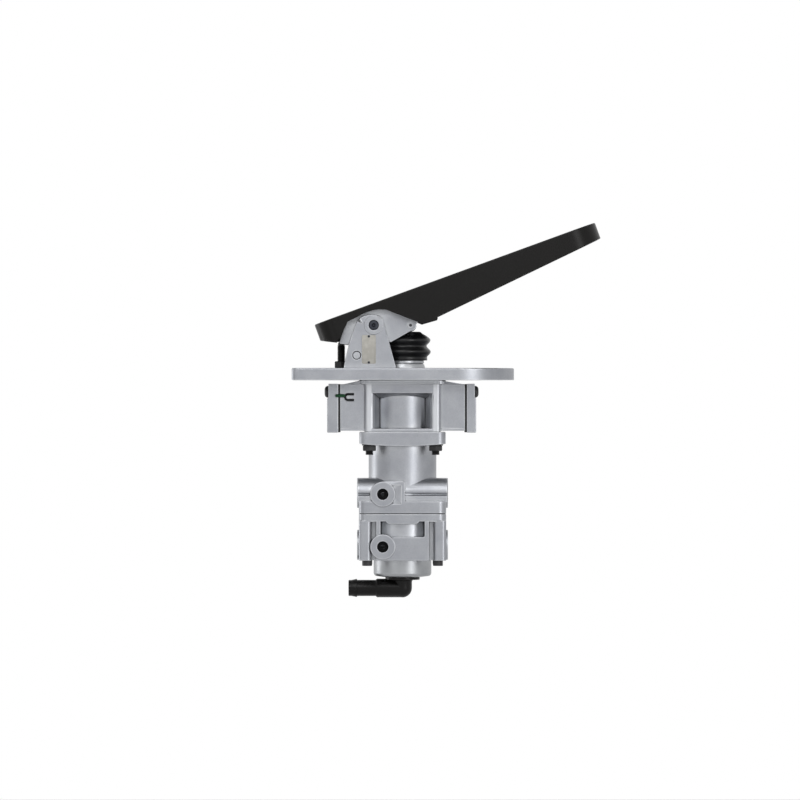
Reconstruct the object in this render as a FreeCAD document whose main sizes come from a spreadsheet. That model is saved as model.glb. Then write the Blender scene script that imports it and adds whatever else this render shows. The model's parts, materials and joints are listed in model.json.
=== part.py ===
import FreeCAD, Part
import math
import os
import Sketcher

# Foot-operated dual-circuit service brake valve on a cab-floor plate.
# Millimetres. Z is the valve axis, upwards. Z = 0 is the underside of the mounting plate.
# X runs from the heel of the pedal to its tip, and Y is across the pedal.

SIZES = {
    # Mounting plate
    "plate_thick": 12.0,
    "plate_heel_end": 110.2,
    "plate_bow_place": 51.6,
    "plate_half_width": 60.0,
    "plate_corner": 6.0,
    "plate_rim_round": 1.4,
    "fixing_hole_dia": 9.0,
    "fixing_half_length": 86.0,
    "fixing_half_width": 38.0,
    "relief_depth": 0.8,
    "relief_half_length": 79.0,
    "relief_half_width": 48.0,
    "relief_corner": 4.0,
    "valve_seat_margin": 1.5,
    # Pivot, and the two ears that carry it
    "pivot_back": 28.7,
    "pivot_rise": 42.7,
    "pivot_dia": 10.0,
    "pivot_lead_in": 0.35,
    "running_fit": 0.04,
    "ear_gap_half": 36.0,
    "ear_thick": 8.0,
    "ear_foot_back": 29.8,
    "ear_foot_front": 22.4,
    "ear_waist_back": 25.0,
    "ear_waist_drop": 20.0,
    "ear_shoulder_back": 17.8,
    "ear_shoulder_rise": 1.2,
    "ear_brow_back": 9.0,
    "ear_brow_rise": 9.6,
    "ear_crown": 10.8,
    "ear_crown_front_angle": 32.0,
    "ear_crown_top_angle": 100.0,
    "ear_eye_round": 9.4,
    "ear_eye_proud": 0.5,
    "ear_edge_round": 0.8,
    "clip_groove_depth": 0.8,
    "clip_thick": 1.1,
    "clip_rim": 2.6,
    "clip_air": 0.3,
    "cross_pin_dia": 8.2,
    "cross_pin_air": 0.25,
    "cross_pin_back": 16.9,
    "cross_pin_drop": 30.1,
    # Bare type plate
    "type_plate_width": 13.8,
    "type_plate_height": 28.4,
    "type_plate_thick": 0.6,
    "type_plate_back": 4.8,
    "type_plate_drop": 24.2,
    "rivet_pitch": 26.0,
    "rivet_head_dia": 2.4,
    "rivet_head_proud": 0.5,
    "rivet_shank_dia": 1.6,
    "rivet_shank_length": 4.0,
    # Stop bolt
    "stop_back": 61.3,
    "stop_bolt_dia": 8.0,
    "stop_bolt_height": 26.0,
    "stop_tip_round": 1.2,
    "stop_air": 0.2,
    "nut_across": 13.0,
    "stop_nut_height": 6.9,
    # Pedal, in its own frame: origin on the pivot, first size along the tread, second square to it
    "tread_tilt": 20.05,
    "tread_length": 298.0,
    "tread_heel": 55.4,
    "tread_top": 20.64,
    "tread_half_width": 48.0,
    "tread_end_depth": 16.6,
    "tread_wall": 3.5,
    "tread_roof": 6.0,
    "tread_tip_round": 30.0,
    "tread_heel_round": 20.0,
    "tread_edge_round": 1.2,
    "skirt_deep_place": 62.8,
    "skirt_deep": 34.5,
    "skirt_lug_deep": 37.0,
    "skirt_lug_place": 45.7,
    "skirt_throat_place": 42.5,
    "skirt_throat": 33.1,
    "arch_front": 16.7,
    "arch_front_depth": 10.4,
    "arch_crown_depth": 6.3,
    "arch_back": 12.0,
    "arch_back_depth": 7.4,
    "arch_foot_back": 23.1,
    "arch_foot_depth": 8.6,
    "heel_notch_back": 35.2,
    "heel_notch_depth": 21.2,
    "heel_lip_back": 41.2,
    "heel_lip_depth": 23.6,
    "rib_thick": 2.5,
    "rib_half_pitch": 17.0,
    "rib_start": 49.0,
    "rib_short": 4.0,
    "cross_rib_first": 82.0,
    "cross_rib_pitch": 38.0,
    "stop_boss_half_width": 9.0,
    "stop_boss_half_length": 6.5,
    "pad_recess": 2.2,
    "pad_margin": 6.0,
    "pad_start": 22.0,
    "pad_air": 0.2,
    "pad_groove": 1.0,
    "pad_groove_width": 2.4,
    "pad_groove_pitch": 8.0,
    "pad_groove_inset": 10.0,
    # Pedal lever, in the same frame
    "lever_half_width": 34.0,
    "cheek_thick": 4.5,
    "flange_thick": 5.0,
    "flange_front": 24.0,
    "flange_back": 21.4,
    "cheek_brow_front": 42.5,
    "cheek_brow_drop": 11.5,
    "cheek_tip_front": 40.2,
    "cheek_tip_drop": 13.8,
    "cheek_chin_front": 32.5,
    "cheek_chin_drop": 18.1,
    "cheek_belly_front": 10.4,
    "cheek_belly_drop": 21.8,
    "cheek_throat_back": 19.5,
    "cheek_throat_drop": 5.0,
    "cheek_heel_back": 29.1,
    "cheek_heel_drop": 10.25,
    "cheek_foot_back": 38.1,
    "cheek_foot_drop": 5.9,
    "cheek_foot_step": 2.8,
    "hub_round": 11.5,
    "bush_wall": 1.5,
    "bush_length": 16.0,
    "roller_along": 34.44,
    "roller_drop": 12.67,
    "roller_dia": 12.0,
    "roller_half_width": 10.0,
    "roller_pin_dia": 6.0,
    "roller_pin_eye": 3.0,
    "roller_pin_eye_depth": 3.0,
    "roller_side_air": 0.4,
    "fork_thick": 5.0,
    "fork_round": 5.0,
    "lever_screw_dia": 6.0,
    "lever_screw_head_dia": 10.0,
    "lever_screw_head": 3.5,
    "lever_screw_front": 15.0,
    "lever_screw_back": 15.0,
    "lever_screw_half_pitch": 22.0,
    "lever_screw_bite": 3.0,
    # Plunger, its guide and the boot
    "roller_air": 0.1,
    "cap_round": 14.0,
    "cap_thick": 5.0,
    "cap_edge": 1.5,
    "plunger_dia": 14.0,
    "spring_plate_round": 21.0,
    "spring_plate_thick": 4.0,
    "guide_collar_round": 21.6,
    "guide_collar_height": 7.6,
    "guide_base_round": 22.7,
    "guide_base_height": 4.1,
    "guide_groove": 0.9,
    "guide_neck_round": 20.0,
    "guide_neck_height": 3.0,
    "guide_spigot_round": 19.0,
    "guide_spigot_drop": 8.7,
    "guide_bush_wall": 2.0,
    "guide_bush_length": 16.0,
    "seat_air": 0.05,
    "rest_air": 0.3,
    "boot_wall": 1.8,
    "boot_top_round": 18.2,
    "boot_fold_round": 28.3,
    "boot_waist_round": 24.1,
    "boot_lip_round": 24.6,
    "boot_lip_height": 4.0,
    "boot_low_fold": 8.8,
    "boot_waist": 14.6,
    "boot_high_fold": 20.3,
    "boot_fold_flat": 1.0,
    # Upper housing
    "deck_half": 43.0,
    "deck_half_width": 38.4,
    "deck_thick": 4.1,
    "deck_corner": 7.0,
    "block_half": 37.9,
    "block_corner": 3.5,
    "block_bottom": 51.9,
    "spring_cavity_round": 26.0,
    "cavity_roof": 8.0,
    "window_half": 29.2,
    "window_top": 13.0,
    "window_bottom": 48.4,
    "window_floor_half": 22.8,
    "window_floor_drop": 5.4,
    "window_depth": 18.5,
    "window_mouth_round": 3.5,
    "barrel_round": 30.0,
    "wing_reach": 62.2,
    "wing_crease": 49.2,
    "wing_half_width": 33.0,
    "wing_neck_half_width": 30.0,
    "wing_top": 4.1,
    "wing_bottom": 50.6,
    "chamber_half_width": 27.0,
    "chamber_top": 20.0,
    "chamber_bottom": 47.0,
    "chamber_depth": 16.0,
    # Side covers
    "seal_thick": 1.9,
    "seal_lip": 3.0,
    "cover_half_width": 34.0,
    "cover_top": 3.7,
    "cover_bottom": 52.5,
    "left_cover_thick": 11.1,
    "right_cover_thick": 9.3,
    "cover_wall": 2.5,
    "cover_step": 1.3,
    "cover_step_drop": 17.9,
    "cover_edge_round": 1.0,
    "cover_boss_round": 5.0,
    "cover_screw_drop": 11.7,
    "cover_screw_half_pitch": 22.0,
    "cover_screw_dia": 6.0,
    "cover_screw_head_dia": 12.0,
    "cover_screw_head": 3.9,
    "cover_screw_bite": 10.0,
    "board_thick": 1.6,
    "board_margin": 2.5,
    "board_chip_half": 6.0,
    "board_chip_thick": 2.0,
    # Studs that hold the valve under the plate
    "stud_half_pitch": 33.0,
    "stud_dia": 8.0,
    "stud_air": 0.25,
    "stud_bite": 9.0,
    "stud_tail": 3.9,
    "flange_nut_height": 7.0,
    "nut_seat_round": 8.5,
    # Upper valve body
    "valve_flange_half": 43.0,
    "valve_flange_edge": 11.8,
    "valve_flange_belly": 2.1,
    "valve_corner": 8.0,
    "valve_top_round": 33.9,
    "primary_bore_round": 27.0,
    "primary_bore_depth": 36.1,
    "web_thick": 11.0,
    "inlet_seat_round": 9.0,
    "supply_round": 15.0,
    "supply_depth": 22.0,
    "side_port_axis": 61.0,
    "side_port_boss_round": 15.0,
    "side_port_reach": 45.4,
    "port_thread_round": 10.25,
    "port_thread_depth": 14.0,
    "passage_round": 4.5,
    "riser_round": 2.5,
    "riser_place": 21.5,
    "shoulder_reach": 44.6,
    "shoulder_half_width": 34.4,
    "shoulder_top": 98.1,
    "shoulder_round": 13.5,
    "shoulder_line_top": 112.4,
    "shoulder_line_width": 3.4,
    "shoulder_line_depth": 2.4,
    "shoulder_ledge_proud": 1.2,
    "front_port_place": 19.7,
    "front_port_axis": 61.9,
    "front_port_boss_round": 12.4,
    "front_port_reach": 46.0,
    "front_port_bore_round": 5.65,
    "front_port_depth": 12.0,
    "front_passage_round": 2.0,
    "valve_joint": 133.6,
    "lower_flange_thick": 12.7,
    "valve_half": 43.5,
    "pad_face": 43.5,
    "number_pad_right": 2.3,
    "number_pad_top": 100.9,
    "number_pad_corner": 3.0,
    "number_field_left": 10.4,
    "number_field_right": 1.5,
    "number_field_top": 105.0,
    "number_field_bottom": 123.2,
    "number_field_bow": 2.9,
    "number_field_depth": 1.2,
    "joint_line_height": 0.7,
    "joint_line_depth": 0.7,
    # Lower valve body
    "lower_body_height": 46.3,
    "lower_flange_drop": 7.3,
    "step_half": 16.5,
    "step_drop": 9.8,
    "step_edge": 2.0,
    "pillar_inner": 31.0,
    "pillar_inner_side": 23.0,
    "pillar_round": 4.0,
    "recess_depth": 9.6,
    "front_recess_depth": 19.5,
    "lower_barrel_round": 34.0,
    "front_block_half": 26.3,
    "front_block_drop": 23.0,
    "front_block_wall": 4.3,
    "front_pocket_floor": 20.0,
    "front_pocket_round": 2.0,
    "relay_bore_round": 29.0,
    "relay_bore_depth": 16.4,
    "lower_web_thick": 8.0,
    "lower_seat_round": 8.5,
    "lower_side_port_drop": 31.3,
    "lower_front_port_drop": 32.6,
    "body_screw_half_pitch": 35.3,
    "body_screw_dia": 6.0,
    "body_screw_head_dia": 10.0,
    "body_screw_head": 5.3,
    "body_screw_socket": 5.0,
    "body_screw_bite": 9.0,
    # Bottom cap and exhaust
    "cap_spigot_round": 24.0,
    "cap_spigot_height": 4.0,
    "bottom_cap_round": 28.9,
    "bottom_cap_height": 16.2,
    "bottom_cap_dome": 0.9,
    "bottom_cap_fillet": 3.2,
    "cap_guide_round": 9.0,
    "vent_round": 12.0,
    "vent_depth": 9.0,
    "exhaust_flange_round": 17.25,
    "exhaust_flange_thick": 2.8,
    "exhaust_neck_round": 9.5,
    "exhaust_drop": 11.1,
    "exhaust_tube_round": 9.15,
    "exhaust_tube_back": 26.0,
    "exhaust_tail_round": 8.05,
    "exhaust_tail": 54.1,
    "exhaust_barb_round": 9.15,
    "exhaust_barb_start": 45.5,
    "exhaust_barb_length": 5.1,
    "exhaust_bore_round": 6.0,
    "exhaust_bend_round": 10.0,
    "exhaust_snap_height": 4.0,
    "flap_thick": 1.5,
    # Inner working parts
    "ring_wire": 2.6,
    "housing_ring_round": 30.0,
    "body_ring_round": 32.0,
    "piston_boss_round": 17.0,
    "piston_boss_height": 10.0,
    "piston_head_height": 14.0,
    "piston_stem_round": 6.5,
    "piston_stem_bore": 4.0,
    "piston_start": 2.1,
    "exhaust_gap": 1.2,
    "piston_spring_round": 14.0,
    "spring_wire": 2.4,
    "valve_disc_round": 11.5,
    "valve_disc_thick": 2.6,
    "valve_cup_thick": 2.4,
    "valve_stem_round": 5.0,
    "valve_stem_bore": 3.2,
    "valve_stem_length": 27.0,
    "valve_spring_round": 8.6,
    "valve_spring_wire": 1.6,
    "guide_ring_thick": 6.0,
    "guide_ring_place": 15.0,
    "relay_tube_round": 8.0,
    "relay_tube_rise": 21.5,
    "relay_head_height": 8.0,
    "relay_start": 4.3,
    "relay_stem_round": 6.0,
    "relay_stem_bore": 3.6,
    "relay_gap": 1.0,
    "lower_stem_length": 24.0,
    # Lead seal on the side cover
    "seal_wire_round": 1.5,
    "seal_wire_bed": 0.4,
    "seal_wire_over_cover": 2.6,
    "seal_wire_over_wing": 5.2,
    "seal_wire_drop": 15.6,
    "seal_loop_wire": 1.0,
    "seal_loop_round": 2.9,
    "seal_loop_back": 7.9,
    "seal_loop_drop": 17.0,
    "seal_loop_straight": 4.2,
}

doc = FreeCAD.newDocument("service_brake_valve")
sheet = doc.addObject("Spreadsheet::Sheet", "sizes")


class Size:
    """A number together with the sheet expression that gives it."""

    def __init__(self, value, text):
        self.value = value
        self.text = text

    def __add__(self, other):
        other = as_size(other)
        return Size(self.value + other.value, f"({self.text} + {other.text})")

    def __sub__(self, other):
        other = as_size(other)
        return Size(self.value - other.value, f"({self.text} - {other.text})")

    def __mul__(self, other):
        other = as_size(other)
        return Size(self.value * other.value, f"({self.text} * {other.text})")

    def __truediv__(self, other):
        other = as_size(other)
        return Size(self.value / other.value, f"({self.text} / {other.text})")

    def __radd__(self, other):
        return as_size(other) + self

    def __rsub__(self, other):
        return as_size(other) - self

    def __rmul__(self, other):
        return as_size(other) * self

    def __neg__(self):
        return Size(-self.value, f"(0 - {self.text})")


def as_size(number):
    if isinstance(number, Size):
        return number
    return Size(float(number), repr(float(number)))


def sine(angle):
    return Size(math.sin(math.radians(angle.value)), f"sin({angle.text})")


def cosine(angle):
    return Size(math.cos(math.radians(angle.value)), f"cos({angle.text})")


class SheetSizes:
    """Gives each value of the sheet by its name."""

    def __getattr__(self, name):
        return Size(float(SIZES[name]), f"sizes.{name}")


S = SheetSizes()


def fill_sheet():
    for row, (name, value) in enumerate(SIZES.items(), 1):
        sheet.set(f"A{row}", name)
        sheet.set(f"B{row}", str(value))
        sheet.setAlias(f"B{row}", name)
    doc.recompute()


def bind(thing, path, number):
    """Ties a property of a document object to the sheet."""
    number = as_size(number)
    if "sizes." in number.text:
        thing.setExpression(path, number.text)


def vector(x, y, z):
    return FreeCAD.Vector(as_size(x).value, as_size(y).value, as_size(z).value)


def place(thing, x, y, z, rotation=None):
    """Puts a document object at a point that follows the sheet."""
    thing.Placement = FreeCAD.Placement(vector(x, y, z), rotation or FreeCAD.Rotation())
    bind(thing, ".Placement.Base.x", x)
    bind(thing, ".Placement.Base.y", y)
    bind(thing, ".Placement.Base.z", z)
    return thing


TURN_TO = {
    "X": FreeCAD.Rotation(FreeCAD.Vector(0, 1, 0), 90),
    "-X": FreeCAD.Rotation(FreeCAD.Vector(0, 1, 0), -90),
    "Y": FreeCAD.Rotation(FreeCAD.Vector(1, 0, 0), -90),
    "-Y": FreeCAD.Rotation(FreeCAD.Vector(1, 0, 0), 90),
    "Z": FreeCAD.Rotation(),
    "-Z": FreeCAD.Rotation(FreeCAD.Vector(1, 0, 0), 180),
}


def rod(name, radius, length, at, along="Z"):
    """A cylinder that starts at a point and runs along an axis."""
    cylinder = doc.addObject("Part::Cylinder", name)
    cylinder.Radius = as_size(radius).value
    cylinder.Height = as_size(length).value
    bind(cylinder, "Radius", radius)
    bind(cylinder, "Height", length)
    return place(cylinder, *at, TURN_TO[along])


def cone(name, radius_start, radius_end, length, at, along="Z"):
    """A cone frustum that starts at a point and runs along an axis."""
    frustum = doc.addObject("Part::Cone", name)
    frustum.Radius1 = as_size(radius_start).value
    frustum.Radius2 = as_size(radius_end).value
    frustum.Height = as_size(length).value
    bind(frustum, "Radius1", radius_start)
    bind(frustum, "Radius2", radius_end)
    bind(frustum, "Height", length)
    return place(frustum, *at, TURN_TO[along])


def block(name, x, y, z):
    """A box between two limits on each axis."""
    box = doc.addObject("Part::Box", name)
    for side, (low, high) in (("Length", x), ("Width", y), ("Height", z)):
        length = as_size(high) - low
        setattr(box, side, length.value)
        bind(box, side, length)
    return place(box, x[0], y[0], z[0])


def hexagon(name, across, height, at, along="Z"):
    """A hexagon bar of a given size across its flats."""
    prism = doc.addObject("Part::Prism", name)
    prism.Polygon = 6
    corner = as_size(across) / (2 * cosine(as_size(30)))
    prism.Circumradius = corner.value
    prism.Height = as_size(height).value
    bind(prism, "Circumradius", corner)
    bind(prism, "Height", height)
    return place(prism, *at, TURN_TO[along])


def ring(name, radius, wire, at, sweep=360, rotation=None):
    """A torus about Z, or the part of one."""
    torus = doc.addObject("Part::Torus", name)
    torus.Radius1 = as_size(radius).value
    torus.Radius2 = as_size(wire).value
    torus.Angle3 = sweep
    bind(torus, "Radius1", radius)
    bind(torus, "Radius2", wire)
    return place(torus, *at, rotation)


def join(name, *things):
    """One solid from pieces that touch or overlap."""
    fusion = doc.addObject("Part::MultiFuse", name)
    fusion.Shapes = list(things)
    fusion.Refine = True
    return fusion


def group(name, *things):
    """Separate solids kept in one sub-part."""
    compound = doc.addObject("Part::Compound", name)
    compound.Links = list(things)
    return compound


def cut(name, base, *tools):
    """A base with every tool taken out of it."""
    tool = tools[0]
    if len(tools) > 1:
        tool = doc.addObject("Part::MultiFuse", f"{name}_tools")
        tool.Shapes = list(tools)
    difference = doc.addObject("Part::Cut", name)
    difference.Base = base
    difference.Tool = tool
    difference.Refine = True
    return difference


def common(name, first, second):
    overlap = doc.addObject("Part::Common", name)
    overlap.Base = first
    overlap.Tool = second
    return overlap


def rounded(name, base, test, radius):
    """Rounds the edges of a finished shape that pass a test."""
    doc.recompute()
    chosen = [
        (number, radius.value, radius.value)
        for number, edge in enumerate(base.Shape.Edges, 1)
        if test(edge)
    ]
    fillet = doc.addObject("Part::Fillet", name)
    fillet.Base = base
    fillet.Edges = chosen
    return fillet


def mirrored(name, thing, normal):
    """A copy reflected in the plane through the origin with this normal."""
    mirror = doc.addObject("Part::Mirroring", name)
    mirror.Source = thing
    mirror.Normal = normal
    return mirror


def new_body(name):
    return doc.addObject("PartDesign::Body", name)


def origin_item(body, role):
    return [item for item in body.Origin.OriginFeatures if item.Role == role][0]


def pin_point(sketch, index, end, name, x, y):
    """Fixes one end of a sketch line at a place that follows the sheet."""
    for kind, letter, number in (("DistanceX", "x", x), ("DistanceY", "y", y)):
        number = as_size(number)
        made = sketch.addConstraint(Sketcher.Constraint(kind, -1, 1, index, end, number.value))
        sketch.renameConstraint(made, f"{letter}_{name}")
        bind(sketch, f"Constraints.{letter}_{name}", number)


def outline(body, name, role, points, lift=0):
    """A closed sketch through points. A point marked via is the middle of an arc."""
    sketch = body.newObject("Sketcher::SketchObject", name)
    sketch.AttachmentSupport = [(origin_item(body, role), "")]
    sketch.MapMode = "FlatFace"
    sketch.AttachmentOffset = FreeCAD.Placement(vector(0, 0, lift), FreeCAD.Rotation())
    bind(sketch, ".AttachmentOffset.Base.z", lift)
    corners = [point for point in points if "via" not in point]
    middles = {}
    corner = -1
    for point in points:
        if "via" in point:
            middles[corner] = point
        else:
            corner += 1
    count = len(corners)
    starts = []
    for index in range(count):
        first = vector(*corners[index], 0)
        last = vector(*corners[(index + 1) % count], 0)
        if index in middles:
            middle = vector(middles[index][0], middles[index][1], 0)
            if (middle - first).cross(last - middle).z > 0:
                made = sketch.addGeometry(Part.Arc(first, middle, last))
                starts.append((made, 1, 2))
            else:
                made = sketch.addGeometry(Part.Arc(last, middle, first))
                starts.append((made, 2, 1))
        else:
            made = sketch.addGeometry(Part.LineSegment(first, last))
            starts.append((made, 1, 2))
    for index in range(count):
        here = starts[index]
        ahead = starts[(index + 1) % count]
        sketch.addConstraint(Sketcher.Constraint("Coincident", here[0], here[2], ahead[0], ahead[1]))
    for index, (made, start, end) in enumerate(starts):
        pin_point(sketch, made, start, f"corner_{index}", *corners[index])
    for index, point in middles.items():
        made = sketch.addGeometry(Part.Point(vector(point[0], point[1], 0)), True)
        sketch.addConstraint(Sketcher.Constraint("PointOnObject", made, 1, starts[index][0]))
        pin_point(sketch, made, 1, f"via_{index}", point[0], point[1])
    return sketch


def pad(body, name, sketch, length):
    feature = body.newObject("PartDesign::Pad", name)
    feature.Profile = sketch
    feature.Length = as_size(length).value
    bind(feature, "Length", length)
    return feature


def slab_up(name, points, low, high):
    """A plate with its outline seen from above."""
    body = new_body(name)
    pad(body, f"{name}_pad", outline(body, f"{name}_outline", "XY_Plane", points, low), high - as_size(low))
    return body


def slab_across(name, points, low, high):
    """A plate with its outline seen from the side, between two places on Y."""
    body = new_body(name)
    sketch = outline(body, f"{name}_outline", "XZ_Plane", points, -as_size(high))
    pad(body, f"{name}_pad", sketch, as_size(high) - low)
    return body


def turned(name, points):
    """A solid of revolution about Z. Points are radius and height."""
    body = new_body(name)
    sketch = outline(body, f"{name}_profile", "XZ_Plane", points)
    feature = body.newObject("PartDesign::Revolution", f"{name}_turn")
    feature.Profile = sketch
    feature.ReferenceAxis = (sketch, ["V_Axis"])
    feature.Angle = 360
    return body


def ease(body, name, test, radius):
    """Rounds edges of a body's last feature."""
    doc.recompute()
    last = body.Tip
    edges = [f"Edge{number}" for number, edge in enumerate(last.Shape.Edges, 1) if test(edge)]
    feature = body.newObject("PartDesign::Fillet", name)
    feature.Base = (last, edges)
    feature.Radius = radius.value
    bind(feature, "Radius", radius)
    return feature


def upright(edge):
    """True for a straight edge along Z."""
    ends = [vertex.Point for vertex in edge.Vertexes]
    if len(ends) != 2:
        return False
    return abs(ends[0].x - ends[1].x) < 1e-4 and abs(ends[0].y - ends[1].y) < 1e-4


def at_height(height):
    """A test for edges that lie flat at one height."""
    def test(edge):
        box = edge.BoundBox
        return abs(box.ZMin - height) < 1e-3 and abs(box.ZMax - height) < 1e-3
    return test


def spring(name, radius, wire, low, high, turns):
    """An open coil spring about Z."""
    helix = doc.addObject("Part::Helix", f"{name}_path")
    rise = as_size(high) - low - 2 * as_size(wire)
    helix.Radius = as_size(radius).value
    helix.Pitch = (rise / turns).value
    helix.Height = rise.value
    bind(helix, "Radius", radius)
    bind(helix, "Pitch", rise / turns)
    bind(helix, "Height", rise)
    place(helix, 0, 0, as_size(low) + wire)
    section = doc.addObject("Part::Circle", f"{name}_section")
    section.Radius = as_size(wire).value
    bind(section, "Radius", wire)
    place(section, radius, 0, as_size(low) + wire, TURN_TO["Y"])
    sweep = doc.addObject("Part::Sweep", name)
    sweep.Sections = [section]
    sweep.Spine = (helix, [])
    sweep.Solid = True
    sweep.Frenet = True
    return sweep


NODES = {}


def keep(label, thing):
    """Names a finished sub-part, which is written to its own file."""
    thing.Label = label
    NODES[label] = thing
    return thing


fill_sheet()

# Places that several sub-parts share
PLATE_TOP = S.plate_thick
PIVOT_X = -S.pivot_back
PIVOT_Z = PLATE_TOP + S.pivot_rise
EAR_OUT = S.ear_gap_half + S.ear_thick
TILT = S.tread_tilt
COS_TILT = cosine(TILT)
SIN_TILT = sine(TILT)


def on_pedal(along, square):
    """The place on X and Z of a point given in the pedal's own frame."""
    return (
        PIVOT_X + along * COS_TILT - square * SIN_TILT,
        PIVOT_Z + along * SIN_TILT + square * COS_TILT,
    )


def tilt_pedal_piece(thing):
    """Turns a piece drawn in the pedal's own frame to its rest position."""
    place(thing, PIVOT_X, 0, PIVOT_Z, FreeCAD.Rotation(FreeCAD.Vector(0, -1, 0), TILT.value))
    bind(thing, ".Placement.Rotation.Angle", TILT)
    return thing


ROLLER_X, ROLLER_Z = on_pedal(S.roller_along, -S.roller_drop)
PLUNGER_TOP = ROLLER_Z - S.roller_dia / 2 - S.roller_air
COLLAR_TOP = PLATE_TOP + S.guide_collar_height
BLOCK_LOW = -S.block_bottom
JOINT_LOW = -S.valve_joint
BODY_LOW = JOINT_LOW - S.lower_body_height
CAP_LOW = BODY_LOW - S.bottom_cap_height - S.bottom_cap_dome
SIDE_PORT_Z = BLOCK_LOW - S.side_port_axis
FRONT_PORT_Z = BLOCK_LOW - S.front_port_axis
LOWER_SIDE_PORT_Z = JOINT_LOW - S.lower_side_port_drop
LOWER_FRONT_PORT_Z = JOINT_LOW - S.lower_front_port_drop
NUT_FACE = BLOCK_LOW - S.valve_flange_edge
SEAL_WIRE_Y = -S.cover_half_width - S.seal_wire_round + S.seal_wire_bed


def corners_of(half):
    """The four places at plus and minus one distance on X and Y."""
    return [(sx * half, sy * half) for sx in (-1, 1) for sy in (-1, 1)]


def rectangle(half_x, half_y):
    """The four corners of a rectangle about the origin, in order."""
    return [(-half_x, -half_y), (half_x, -half_y), (half_x, half_y), (-half_x, half_y)]


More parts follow.
